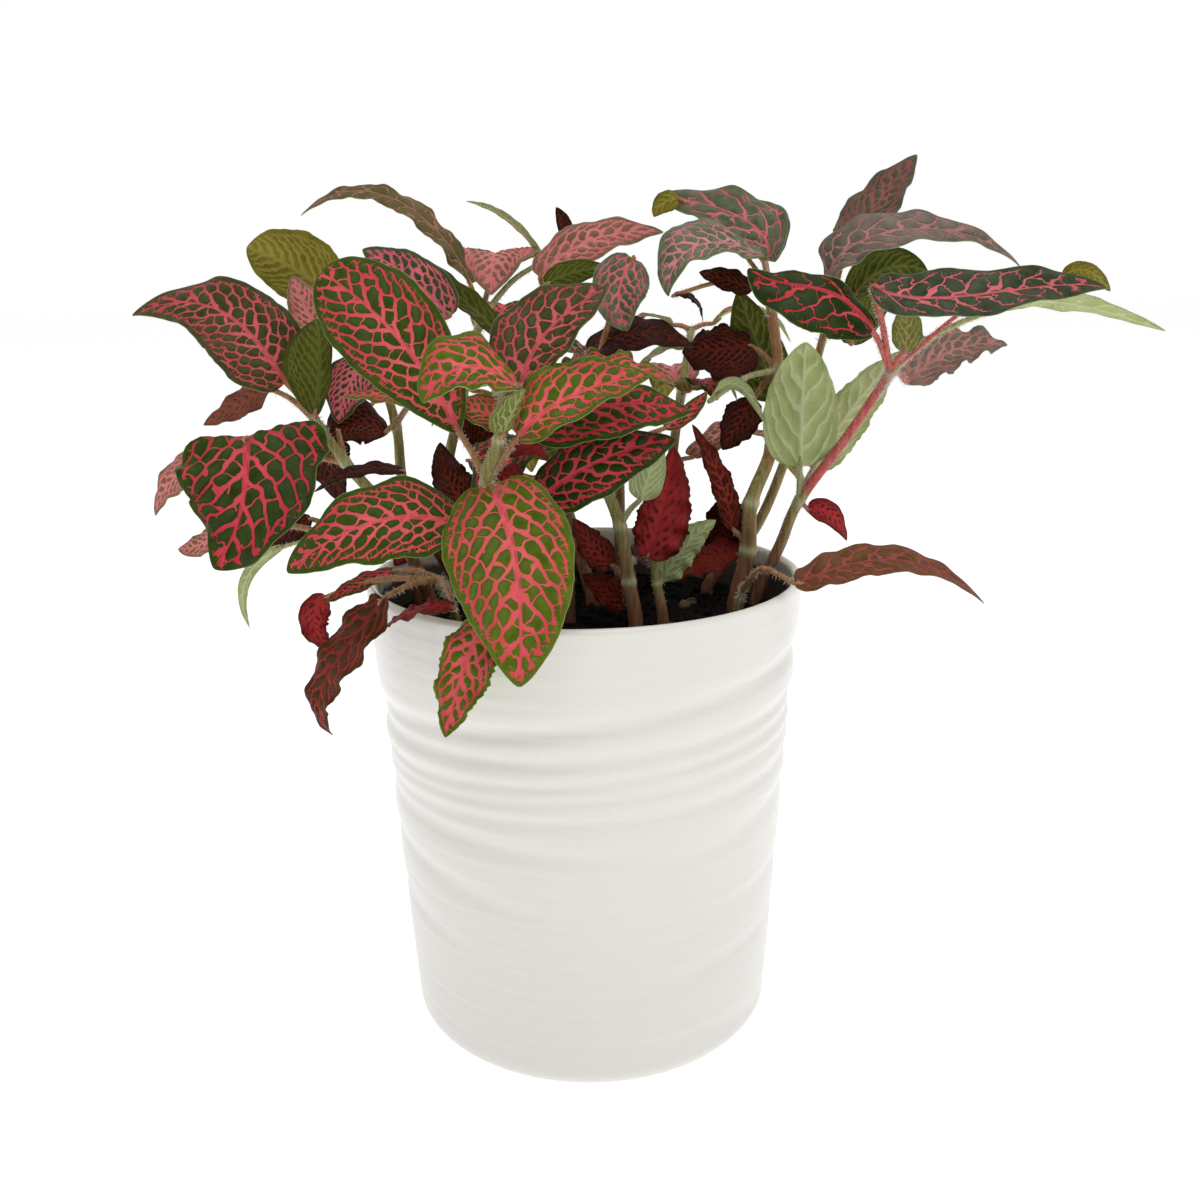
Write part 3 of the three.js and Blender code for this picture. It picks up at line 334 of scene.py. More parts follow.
def sprig_leaf(node, grows_from, degrees, outward, seed):
    way = heading(degrees)
    inward = -way @ outward > 0.35
    full = LEAF_LENGTH - LENGTH_STEP * (grows_from - 1)
    length = full * (0.86 + 0.28 * chance(seed, 2)) * (INWARD if inward else 1)
    drop = (0.12 + 0.3 * chance(seed, 3)) * length * (0.2 if inward else 1)
    base = node + way * STALK_LENGTH + RISE * STALK_RISE
    middle = base + way * 0.5 * length + RISE * 0.17 * length
    tip = base + way * 0.93 * length - RISE * drop
    half = 0.29 * length
    face = (0.25 * way[0], 0.25 * way[1], 1)
    tone = SPRIG_TONES[int(len(SPRIG_TONES) * chance(seed, 5))]
    shape = dict(wave=0.04, phase=6 * chance(seed, 4))
    return leaf(grows_from, tone, face, [base, middle, tip], (half, half), **shape)


def sprig(root, lean, tilt, height, turn, seed, pairs=3):
    """lean: the way it leans. tilt: how far. turn: the way its lowest leaves point. All are in degrees."""
    reach = height * math.tan(math.radians(tilt))
    ground = np.array([root[0], root[1], SOIL_TOP])
    outward = np.array([root[0], root[1], 0.0]) / math.hypot(*root)
    stem = []
    leaves = []
    for k, t in enumerate(NODE_HEIGHTS[-pairs:]):
        node = ground + heading(lean) * reach * t**1.4 + RISE * height * t
        stem.append(node)
        for side in (0, 1):
            own = seed * 10 + k * 2 + side
            degrees = turn + 90 * k + 180 * side + 30 * (chance(own, 1) - 0.5)
            leaves.append(sprig_leaf(node, k + 1, degrees, outward, own))
    return leafy_stem(root, SPRIG_THICK, stem, *leaves)


# ---------------------------------------------------------------- meshes

def unit(v):
    return v / np.maximum(np.linalg.norm(v, axis=-1, keepdims=True), 1e-9)


def steps_along(path):
    return np.linalg.norm(np.diff(path, axis=0), axis=1)


def angles_round(count):
    return np.arange(count) * TURN / count


def add_object(name, data):
    thing = bpy.data.objects.new(name, data)
    bpy.context.scene.collection.objects.link(thing)
    return thing


def stand(thing, across, up, back, position):
    """Stands a lamp or camera at a position in metres. back: the way its back faces."""
    axes = np.stack([across, up, back], 1)
    thing.matrix_world = Matrix([[*row, p] for row, p in zip(axes, position)] + [[0, 0, 0, 1]])


class Skin:
    """Quads gathered from several closed lofts, with the material and the fields of each."""

    def __init__(self):
        self.points = []
        self.faces = []
        self.slots = []
        self.fields = {}
        self.count = 0

    def loft(self, rings, slots, fields):
        """rings: (rows, size, 3). slots: material of each quad round a ring. fields: name -> like rings."""
        rows, size, _ = rings.shape
        row, a = np.meshgrid(np.arange(rows - 1), np.arange(size), indexing="ij")
        b = (a + 1) % size
        quads = np.stack([row * size + a, row * size + b, (row + 1) * size + b, (row + 1) * size + a], -1)
        ends = []
        for start, flip in ((0, True), ((rows - 1) * size, False)):
            for j in range(size // 2 - 1):
                quad = [start + j, start + j + 1, start + size - 2 - j, start + size - 1 - j]
                ends.append(quad[::-1] if flip else quad)
        self.points.append(rings.reshape(-1, 3))
        self.faces.append(self.count + np.concatenate([quads.reshape(-1, 4), np.array(ends)]))
        self.slots.append(np.concatenate([np.tile(slots, rows - 1), np.full(len(ends), slots[0])]))
        for name, values in fields.items():
            self.fields.setdefault(name, []).append(values.reshape(-1, 3))
        self.count += rows * size

    def object(self, name, materials, sharp=60):
        """sharp: the least angle in degrees at which an edge isn't shaded smooth."""
        points = np.concatenate(self.points) * MM
        faces = np.concatenate(self.faces)
        mesh = bpy.data.meshes.new(name)
        mesh.vertices.add(len(points))
        mesh.vertices.foreach_set("co", points.ravel())
        mesh.loops.add(faces.size)
        mesh.loops.foreach_set("vertex_index", faces.ravel())
        mesh.polygons.add(len(faces))
        mesh.polygons.foreach_set("loop_start", np.arange(len(faces)) * 4)
        mesh.polygons.foreach_set("material_index", np.concatenate(self.slots))
        for material in materials:
            mesh.materials.append(material)
        for field, values in self.fields.items():
            layer = mesh.attributes.new(field, "FLOAT_VECTOR", "POINT")
            layer.data.foreach_set("vector", np.concatenate(values).astype(np.float32).ravel())
        mesh.update(calc_edges=True)
        mesh.validate()
        mesh.shade_smooth()
        mesh.set_sharp_from_angle(angle=math.radians(sharp))
        return add_object(name, mesh)


def curve_through(points, t):
    """Catmull-Rom through points at t = 0, 1, 2..."""
    i = min(int(t), len(points) - 2)
    f = t - i
    b, c = points[i], points[i + 1]
    a = points[i - 1] if i > 0 else 2 * b - c
    d = points[i + 2] if i + 2 < len(points) else 2 * c - b
    bend = (2 * a - 5 * b + 4 * c - d) * f * f + (3 * b - a - 3 * c + d) * f**3
    return 0.5 * (2 * b + (c - a) * f + bend)


def tube(skin, path, radii, sides, slot, fields):
    """A round tube. fields: name -> (len(path), 3), the same all round."""
    ahead = unit(np.gradient(path, axis=0))
    across = np.array([1.0, 0.0, 0.0])
    angles = angles_round(sides)
    rings = np.empty((len(path), sides, 3))
    for k, (point, way) in enumerate(zip(path, ahead)):
        across = unit(across - way * (across @ way))
        along = np.cross(across, way)
        circle = np.outer(np.cos(angles), across) + np.outer(np.sin(angles), along)
        rings[k] = point - radii[k] * circle
    spread = {name: np.repeat(v[:, None], sides, axis=1) for name, v in fields.items()}
    skin.loft(rings[:, ::-1], np.full(sides, slot), spread)


# ---------------------------------------------------------------- leaves

FOLD = math.radians(12)
CUP = 0.15
SOFT = 0.05  # share of the half width over which the fold at the midrib is rounded
STEP = 0.72  # mm between points of a blade
LATERALS = 8.4  # pairs of side veins
SPACING = 2.8  # least mm between them
START = 1.12  # how far a side vein leads ahead for each mm outwards, at the midrib
CURL = 1.0  # how much further it leads at the margin, in half widths
CLOSE = 0.5  # and how much more it bends along the margin itself
RUNG = 5.1  # most mm between the cross veins
LEAST_RUNG = 2.4
FULL_HALF = 11  # half width in mm from which a leaf's veins and green margin have their full width
LEAST_SCALE = 0.3
GROOVE_DEPTH = 0.25  # of the groove along the midrib
GROOVE_HALF = 1.3
PUCKER = 0.22  # how far the blade dips at each side vein and rises between them
PUFF = 0.32  # mm that a blade rises between its veins


def outline(s, blunt, point):
    """The half width at a share s of the length, where 1 is the widest."""
    widest = blunt / (blunt + point)
    return s**blunt * (1 - s) ** point / (widest**blunt * (1 - widest) ** point)


def midrib_points(shape):
    return np.array([place(p) for p in shape["midrib"]])


def midrib_at(points, s):
    """The smooth curve through a midrib's points, at shares s of its length."""
    n = len(points) - 1
    total = 0
    for i, point in enumerate(points):
        weight = np.ones_like(s)
        for j in range(n + 1):
            if j != i:
                weight = weight * (s * n - j) / (i - j)
        total = total + np.multiply.outer(weight, point)
    return total


def across_leaf(shape, ribs):
    return unit(np.cross(ribs[-1] - ribs[0], np.array(shape["face"], float)))


def side_vein_course(share, curl):
    """For a share of the half width: how far ahead of its straight course a side vein is, in half widths; how
    steeply it leads ahead; and how far a cross vein, square to the side veins, falls back."""
    ahead = curl * (CURL * share**3 + CLOSE * share**8)
    fine = np.linspace(0, 1, 200)
    slopes = START + curl * (3 * CURL * fine**2 + 8 * CLOSE * fine**7)
    back = np.concatenate([[0], np.cumsum((1 / slopes[1:] + 1 / slopes[:-1]) / 2 * fine[1])])
    return ahead, np.interp(share, fine, slopes), np.interp(share, fine, back)


def vein_fields(shape, s, u, halves, length, seed):
    """Where each point of a blade lies among its veins, as fields of three numbers.
    net: its place among the cross veins and among the side veins, each vein at a whole number; the scale.
    pitch: mm between the cross veins; mm between the side veins; 0.
    vein: mm from the midrib; mm from the margin; the share of the length.
    span: mm along the midrib; the share of the half width; the side, 0 or 1.
    style: how bold the veins are; how much they zigzag; the leaf's scale."""
    flat = np.zeros_like(halves)
    sides = np.broadcast_to((u > 0)[None], halves.shape)
    along = s[:, None] * length + flat
    out = np.abs(u) * halves
    share = np.abs(u)[None] + flat
    spacing = max(SPACING, length / LATERALS)
    rung = max(LEAST_RUNG, min(RUNG, spacing))
    spacing, rung, bold, zigzag, curl = shape.get("net", (spacing, rung, 1.0, 1.0, 1.0))
    ahead, slope, back = side_vein_course(share, curl)
    q = (along - START * out - halves * ahead) / spacing + 0.37 * sides + 0.31 * seed % 1
    c = (along + halves * back) / rung + 0.5 * sides
    scale = np.clip(np.where(sides, *shape["halves"][::-1]) / FULL_HALF, LEAST_SCALE, 1.0)
    widens = np.gradient(halves, s * length, axis=0)
    side_pitch = spacing / np.hypot(1 + widens * (share * (slope - START) - ahead), slope)
    rung_pitch = rung / np.hypot(1 + widens * (back - share / slope), 1 / slope)
    # whole numbers far apart keep the leaves from sharing their scatter
    return {
        "net": np.stack([c + 40.0 * (seed % 9), q + 20.0 * (1 + seed % 11), scale], -1),
        "pitch": np.stack([rung_pitch, side_pitch, flat], -1),
        "vein": np.stack([out, (1 - share) * halves, s[:, None] + flat], -1),
        "span": np.stack([along + 60.0 * (seed % 13), share, sides.astype(float)], -1),
        "style": np.broadcast_to([bold, zigzag, scale.max()], (*halves.shape, 3)),
    }


def sines(s, seed, sides, *terms):
    """A sum of sines along a leaf. terms: turns, shift for each seed, lag of the right side, and height."""
    total = 0
    for turns, shift, lag, height in terms:
        total = total + height * np.sin(TURN * (turns * s + shift * seed) + lag * sides)
    return total


def blade_rows(shape, s, u, seed):
    """Points of the blade (rows, columns, 3), with the upper side's normals, and its fields."""
    wave = shape.get("wave", 0.05)
    waves = shape.get("waves", 3)
    phase = shape.get("phase", 0.7)
    ribs = midrib_points(shape)
    middle = midrib_at(ribs, s)
    ahead = unit(midrib_at(ribs, s + 1e-3) - midrib_at(ribs, s - 1e-3))
    side = across_leaf(shape, ribs)
    side = unit(side - (ahead @ side)[:, None] * ahead)
    up = np.cross(side, ahead)
    left, right = shape["halves"]
    widths = outline(s, shape.get("blunt", BLUNT), shape.get("point", POINT))
    halves = widths[:, None] * np.where(u < 0, left, right)[None]
    fields = vein_fields(shape, s, u, halves, steps_along(middle).sum(), seed)
    # the margin: shallow teeth in the blade's plane, and a frill out of it
    row = s[:, None]
    sides = (u > 0)[None]
    ruffle = min(1.0, max(0.0, wave - 0.045) / 0.05)
    teeth = sines(row, seed, sides, (5.3, 0.17, 2.1, 1), (9.7, 0.31, 4.0, 0.6), (17, 0.71, 1.0, 0.3 + ruffle))
    halves = halves * (1 + (0.008 + 0.021 * ruffle) * teeth * np.abs(u) ** 5)
    frill = sines(row, seed, sides, (4.6, 0.23, 1.7, 1), (9.2, 0.11, 3.1, 0.6))
    frill = frill * (0.1 + 0.55 * ruffle) * np.abs(u) ** 4 * np.minimum(1, 6 * (1 - row))
    ripple = np.sin(TURN * waves * row + phase + 1.3 * sides) * np.minimum(1, 4 * (1 - row))
    rounded = np.sqrt(u * u + SOFT**2) - SOFT
    lift = halves * (rounded * math.sin(FOLD) - CUP * u * u) + (left + right) * wave * u * u * ripple + frill
    # the quilting: a soft groove at the midrib and at each side vein
    _, across_veins, scale = np.moveaxis(fields["net"], -1, 0)
    out, rim, _ = np.moveaxis(fields["vein"], -1, 0)
    groove = GROOVE_DEPTH * np.exp(-((out / GROOVE_HALF) ** 2))
    fade = np.clip(out / 3, 0, 1) * np.clip(rim / 3.5, 0, 1)
    lift = lift - scale * (groove + PUCKER * np.cos(TURN * across_veins) * fade)
    outwards = (halves * u * math.cos(FOLD))[..., None] * side[:, None]
    points = middle[:, None] + outwards + lift[..., None] * up[:, None]
    normals = unit(np.cross(np.gradient(points, axis=1), np.gradient(points, axis=0)))
    return points, normals, fields


def add_leaf(skin, shape, seed, slots):
    """One blade, closed, from its stalk to its tip. slots: materials of its upper side and underside."""
    length = steps_along(midrib_at(midrib_points(shape), np.linspace(0, 1, 20))).sum()
    rows = int(np.clip(length / STEP, 14, 90))
    columns = int(np.clip(sum(shape["halves"]) / STEP / 2, 4, 26)) + 1
    s = 1 - np.linspace(0.985, 0.035, rows) ** 1.15
    s = 0.012 + (s - s[0]) / (s[-1] - s[0]) * 0.984
    half = np.linspace(0.004, 1, columns)
    u = np.concatenate([-half[::-1], half])
    points, normals, fields = blade_rows(shape, s, u, seed)
    rim = fields["vein"][..., 1:2]
    thick = EDGE + (BLADE - EDGE) * np.minimum(1, rim / 1.5)
    upper = points + normals * thick / 2
    lower = points - normals * thick / 2
    rings = np.concatenate([upper, lower[:, ::-1]], axis=1)
    fields["rise"] = normals
    both = {name: np.concatenate([values, values[:, ::-1]], axis=1) for name, values in fields.items()}
    skin.loft(rings, np.repeat(slots, len(u)), both)


# ---------------------------------------------------------------- nodes

class Value:
    """A number or vector that a node gives, so that a tree's sums can be written as sums."""

    def __init__(self, maker, socket):
        self.maker = maker
        self.socket = socket

    def __add__(self, other):
        return self.maker.math("ADD", self, other)

    def __sub__(self, other):
        return self.maker.math("SUBTRACT", self, other)

    def __rsub__(self, other):
        return self.maker.math("SUBTRACT", other, self)

    def __mul__(self, other):
        return self.maker.math("MULTIPLY", self, other)

    def __rmul__(self, other):
        return self.maker.math("MULTIPLY", other, self)

    def __truediv__(self, other):
        return self.maker.math("DIVIDE", self, other)

    def __mod__(self, other):
        return self.maker.math("FLOORED_MODULO", self, other)

    def __abs__(self):
        return self.maker.math("ABSOLUTE", self)

    def __round__(self):
        return self.maker.math("ROUND", self)


class Nodes:
    """Makes and links the nodes of one tree."""

    def __init__(self, tree):
        self.tree = tree

    def node(self, kind, **settings):
        node = self.tree.nodes.new(kind)
        for name, value in settings.items():
            setattr(node, name, value)
        return node

    def put(self, value, socket):
        """Sets a socket to a number or colour, or links it."""
        if isinstance(value, Value):
            self.tree.links.new(value.socket, socket)
        elif isinstance(value, tuple) and len(value) == 3 and socket.type == "RGBA":
            socket.default_value = (*value, 1.0)
        else:
            socket.default_value = value

    def fed(self, node, inputs, output=0):
        """Puts a node's inputs, socket -> value, and gives its output."""
        for socket, value in inputs.items():
            self.put(value, node.inputs[socket])
        return Value(self, node.outputs[output])

    def parts(self, vector):
        node = self.node("ShaderNodeSeparateXYZ")
        self.put(vector, node.inputs[0])
        return [Value(self, socket) for socket in node.outputs]

    def vector(self, x=0.0, y=0.0, z=0.0):
        return self.fed(self.node("ShaderNodeCombineXYZ"), {0: x, 1: y, 2: z})

    def math(self, operation, *values, clamp=False):
        node = self.node("ShaderNodeMath", operation=operation, use_clamp=clamp)
        return self.fed(node, dict(enumerate(values)))

    def sine(self, value):
        return self.math("SINE", value)

    def step(self, value, low, high, start=0.0, end=1.0):
        """Goes smoothly from start to end as the value goes from low to high."""
        node = self.node("ShaderNodeMapRange", interpolation_type="SMOOTHSTEP")
        inputs = {"Value": value, "From Min": low, "From Max": high, "To Min": start, "To Max": end}
        return self.fed(node, inputs, "Result")

    def fade(self, value, low, high, start=1.0):
        """Goes smoothly from start to 0."""
        return self.step(value, low, high, start, 0.0)

    def noise(self, vector, scale, detail=3.0, roughness=0.55):
        inputs = {"Vector": vector, "Scale": scale, "Detail": detail, "Roughness": roughness}
        return self.fed(self.node("ShaderNodeTexNoise"), inputs)

    def chances(self, x, y, z=0.0):
        """Three fixed random numbers for each whole x, y and z."""
        node = self.node("ShaderNodeTexWhiteNoise", noise_dimensions="3D")
        return self.parts(self.fed(node, {"Vector": self.vector(x, y, z)}, "Color"))

    def field(self, name):
        """The vector stored at each point under a name."""
        if self.tree.type == "SHADER":
            return self.fed(self.node("ShaderNodeAttribute", attribute_name=name), {}, "Vector")
        node = self.node("GeometryNodeInputNamedAttribute", data_type="FLOAT_VECTOR")
        return self.fed(node, {"Name": name}, "Attribute")

    def numbers(self, name):
        """The three numbers of that vector."""
        return self.parts(self.field(name))


class Surface(Nodes):
    """One material's nodes, around its Principled shader."""

    def __init__(self, name, **settings):
        self.material = bpy.data.materials.new(name)
        self.material.use_nodes = True
        super().__init__(self.material.node_tree)
        self.shader = self.tree.nodes["Principled BSDF"]
        self.finish(**settings)

    def mix(self, factor, first, second):
        return self.fed(self.node("ShaderNodeMix", data_type="RGBA"), {0: factor, 6: first, 7: second}, 2)

    def stretched(self, vector, factors):
        return self.fed(self.node("ShaderNodeVectorMath", operation="MULTIPLY"), {0: vector, 1: factors})

    def cells(self, vector, scale):
        node = self.node("ShaderNodeTexVoronoi", feature="F1")
        return self.fed(node, {"Vector": vector, "Scale": scale}, "Distance")

    def place(self):
        return Value(self, self.node("ShaderNodeTexCoord").outputs["Object"])

    def bump(self, height, distance):
        """distance: mm that a height of 1 stands out."""
        bump = self.fed(self.node("ShaderNodeBump"), {"Height": height, "Distance": distance * MM})
        self.put(bump, self.shader.inputs["Normal"])

    def finish(self, **sockets):
        for name, value in sockets.items():
            self.put(value, self.shader.inputs[name.replace("_", " ")])
        return self.material


# ---------------------------------------------------------------- veins

def side_veins(g, bold, cross=1.0):
    """How far a point is from the nearest side or cross vein, where 1 is the vein's edge. bold: width of the
    veins; cross: width of the cross veins beside that."""
    c, q, scale = g.numbers("net")
    rung_pitch, side_pitch, _ = g.numbers("pitch")
    along, share, side = g.numbers("span")
    own_bold, own_zigzag, _ = g.numbers("style")
    side = round(side)
    sway = g.vector(0.16 * along, 2.2 * share, 7.0 * side)
    q = q + (0.9 * g.noise(sway, 1.0, 1.0) - 0.45)
    c = c + (0.9 * g.noise(sway, 1.7, 1.0) - 0.45)
    # a side vein zigzags from one cross vein to the next, more so towards the margin
    line = round(q)
    turn = 1.0 - 2.0 * (line % 2.0)
    drift = g.sine(0.47 * TURN * c + 2.1 * line)
    zigzag = (0.35 * drift + g.sine(TURN * c)) * turn * own_zigzag * g.step(share, 0.1, 0.75, 0.05, 0.15)
    off = q - line - zigzag
    row = line - g.math("LESS_THAN", off, 0.0)
    within = g.math("FRACT", q)
    c = c + (0.5 * (row % 2.0) - 0.25)
    rung = round(c)
    r1, r2, r3 = g.chances(rung, row, side)
    crook = (0.7 * r3 - 0.35) * (within - 0.5)
    to_rung = abs(c - (rung + (0.35 * r1 - 0.175) + crook))
    # a few cross veins end soon after they begin
    ends = g.math("GREATER_THAN", r2, 0.1) + (0.3 * r3 + 0.15)
    to_rung = to_rung + 0.6 * g.math("MAXIMUM", within - ends, 0.0)
    uneven = g.step(g.noise(sway, 3.1, 2.0), 0.3, 0.7, 0.85 * bold, 1.15 * bold)
    uneven = uneven * own_bold * g.step(scale, 0.2, 1.0, 0.5, 1.0)
    waist = 1.0 - 0.25 * g.sine(math.pi * within)
    side_width = uneven * g.step(share, 0.0, 0.9, 0.66, 0.34)
    rung_width = uneven * waist * (0.2 * cross * r3 + 0.26 * cross)
    near_side = abs(off) * side_pitch / side_width
    near_rung = to_rung * rung_pitch / rung_width
    return g.math("SMOOTH_MIN", near_side, near_rung, 0.8)


def spikes_beyond(g, along, side, rim, away, scale, bold):
    """1 on the spikes that run out of the last side vein towards the margin."""
    row = 0.62 * along
    r1, r2, _ = g.chances(g.math("FLOOR", row), side, 5.0)
    line = abs(g.math("FRACT", row) - (0.5 * r1 + 0.25))
    reach = (1.4 * r2 + 0.7) * scale
    width = g.math("MINIMUM", 0.11 * bold * (rim - reach), 0.13 * bold)
    spikes = g.fade(line - width, -0.03, 0.03) * g.fade(rim, 2.4 * scale, 3.6 * scale)
    return spikes * g.step(width, 0.0, 0.03) * g.fade(away, 2.2, 3.6)


def vein_mask(g, bold, cross=1.0):
    """1 on a vein and 0 off it, and how far off the nearest side or cross vein is, where 1 is its edge."""
    out, rim, s = g.numbers("vein")
    _, _, scale = g.numbers("net")
    along, _, side = g.numbers("span")
    own_bold, _, leaf_scale = g.numbers("style")
    side = round(side)
    away = side_veins(g, bold, cross)
    # the side and cross veins stop short of the margin
    ragged = g.noise(g.vector(0.5 * along, 9.0 * side), 1.0, 2.0)
    band = (1.6 * ragged + 0.6) * scale
    veins = g.fade(away, 0.86, 1.16) * g.step(rim, band, band + 0.4)
    spikes = spikes_beyond(g, along, side, rim, away, scale, bold)
    # the midrib tapers to the tip
    rib = g.step(s, 0.0, 1.0, 0.98 * bold, 0.3 * bold) * leaf_scale * own_bold
    midrib = g.fade(out, 0.85 * rib, 1.15 * rib + 0.1) * g.fade(s, 0.92, 0.99)
    return g.math("MAXIMUM", g.math("MAXIMUM", veins, spikes), midrib), away


def raise_blades(piece):
    """Raises the blades between the veins that colour them, and keeps the result as the mesh."""
    tree = bpy.data.node_groups.new(piece.name + "_relief", "GeometryNodeTree")
    for in_out in ("INPUT", "OUTPUT"):
        tree.interface.new_socket("Geometry", in_out=in_out, socket_type="NodeSocketGeometry")
    g = Nodes(tree)
    out, rim, _ = g.numbers("vein")
    height = g.step(side_veins(g, 1.0), 0.6, 3.6, 0.0, PUFF * MM)
    height = height * g.step(rim, 1.5, 4.0) * g.step(out, 0.4, 1.6)
    raised = g.fed(g.node("ShaderNodeVectorMath", operation="SCALE"), {0: g.field("rise"), "Scale": height})
    geometry = g.fed(g.node("NodeGroupInput"), {})
    moved = g.fed(g.node("GeometryNodeSetPosition"), {"Geometry": geometry, "Offset": raised})
    g.put(moved, g.node("NodeGroupOutput").inputs[0])
    piece.modifiers.new("relief", "NODES").node_group = tree
    bpy.context.view_layer.update()
    evaluated = piece.evaluated_get(bpy.context.evaluated_depsgraph_get())
    shaped = bpy.data.meshes.new_from_object(evaluated)
    piece.modifiers.clear()
    piece.data = shaped
    bpy.data.node_groups.remove(tree)


# ---------------------------------------------------------------- stems and stalks

TAPER = 0.42  # share of its thickness that a stem loses to its tip
SWELLING = 0.22  # share that it gains where leaves grow
TAN = 0.4  # how far a green stem's stalks turn to rose
STEM_SIDES = 16
STALK_SIDES = 12
HAIR_SIDES = 4
HAIR_RADII = (0.05, 0.04, 0.012)
STEM_SLOT = 0
HAIR_SLOT = 1


def stem_points(shoot):
    x, y = shoot["root"]
    buried = np.array([x, y, SOIL_TOP - STEM_DEPTH])
    risen = np.array([x, y, SOIL_TOP + STEM_RISE])
    return [buried, risen] + [place(p) for p in shoot["stem"]]


def add_stem(skin, shoot, rosy):
    points = stem_points(shoot)
    last = len(points) - 1
    t = np.concatenate([np.linspace(0, 1, 8)[:-1], np.arange(1, last + 1e-6, 0.05)])
    path = [curve_through(points, v) if v >= 1 else points[0] * (1 - v) + points[1] * v for v in t]
    path.append(path[-1] + 1.2 * unit(path[-1] - path[-2]))
    path = np.array(path)
    t = np.append(t, last + 0.05)
    risen = (t - 1) / (last - 1)
    nodes = {shape["grows_from"] + 1 for shape in shoot["leaves"]}
    swelling = sum(np.exp(-(((t - k) / 0.09) ** 2)) for k in nodes)
    radii = shoot["thick"] / 2 * (1 - TAPER * np.maximum(0, risen)) * (1 + SWELLING * swelling)
    radii[-1] *= 0.4
    fields = {"stem": np.stack([risen, swelling, np.full_like(t, rosy)], -1)}
    tube(skin, path, radii, STEM_SIDES, STEM_SLOT, fields)
    return path, radii


def add_stalk(skin, shoot, shape, rosy):
    """The leaf's stalk, from its stem into the midrib."""
    start = stem_points(shoot)[shape["grows_from"] + 1]
    ribs = midrib_points(shape)
    base, inside = midrib_at(ribs, np.array([0.02, 0.1]))
    under = -unit(np.cross(across_leaf(shape, ribs), inside - base))
    base = base + 0.4 * under
    inside = inside + 0.55 * under
    if "via" in shape:
        bend = place(shape["via"])
    else:
        bend = (start + base) / 2 + RISE * 0.08 * np.linalg.norm(base - start)
    t = np.linspace(0, 3, 26)
    path = np.array([curve_through([start, bend, base, inside], v) for v in t])
    radii = shape.get("stalk", 1.0) * np.interp(t, [0, 0.25, 2, 3], [1.25, 0.95, 0.72, 0.3])
    pale, rosy = (0.7, 0.0) if shape["tone"] == "sage" else (0.0, max(rosy, TAN))
    fields = {"stem": np.stack([0.7 + 0.1 * t, np.full_like(t, pale), np.full_like(t, rosy)], -1)}
    tube(skin, path, radii, STALK_SIDES, STEM_SLOT, fields)
    return path, radii


def add_hairs(skin, path, radii, per_mm, length, random):
    """Fine hairs that stand out all round a stretch of stem or stalk."""
    steps = steps_along(path)
    reach = np.concatenate([[0], np.cumsum(steps)])
    for _ in range(int(per_mm * reach[-1])):
        at = random.uniform(0, reach[-1])
        k = min(np.searchsorted(reach, at, side="right") - 1, len(steps) - 1)
        f = (at - reach[k]) / max(steps[k], 1e-6)
        point = path[k] * (1 - f) + path[k + 1] * f
        way = unit(path[k + 1] - path[k])
        out = random.normal(size=3)
        out = unit(out - way * (out @ way))
        tip = unit(out + way * random.uniform(-0.3, 0.6)) * length * random.uniform(0.5, 1)
        root = point + out * radii[k] * 0.9
        spine = np.array([root, root + tip * 0.55, root + tip - RISE * 0.12 * length])
        tube(skin, spine, HAIR_RADII, HAIR_SIDES, HAIR_SLOT, {"stem": np.zeros((3, 3))})


# ---------------------------------------------------------------- materials

MARGIN = (0.36, 0.4, 0.22)

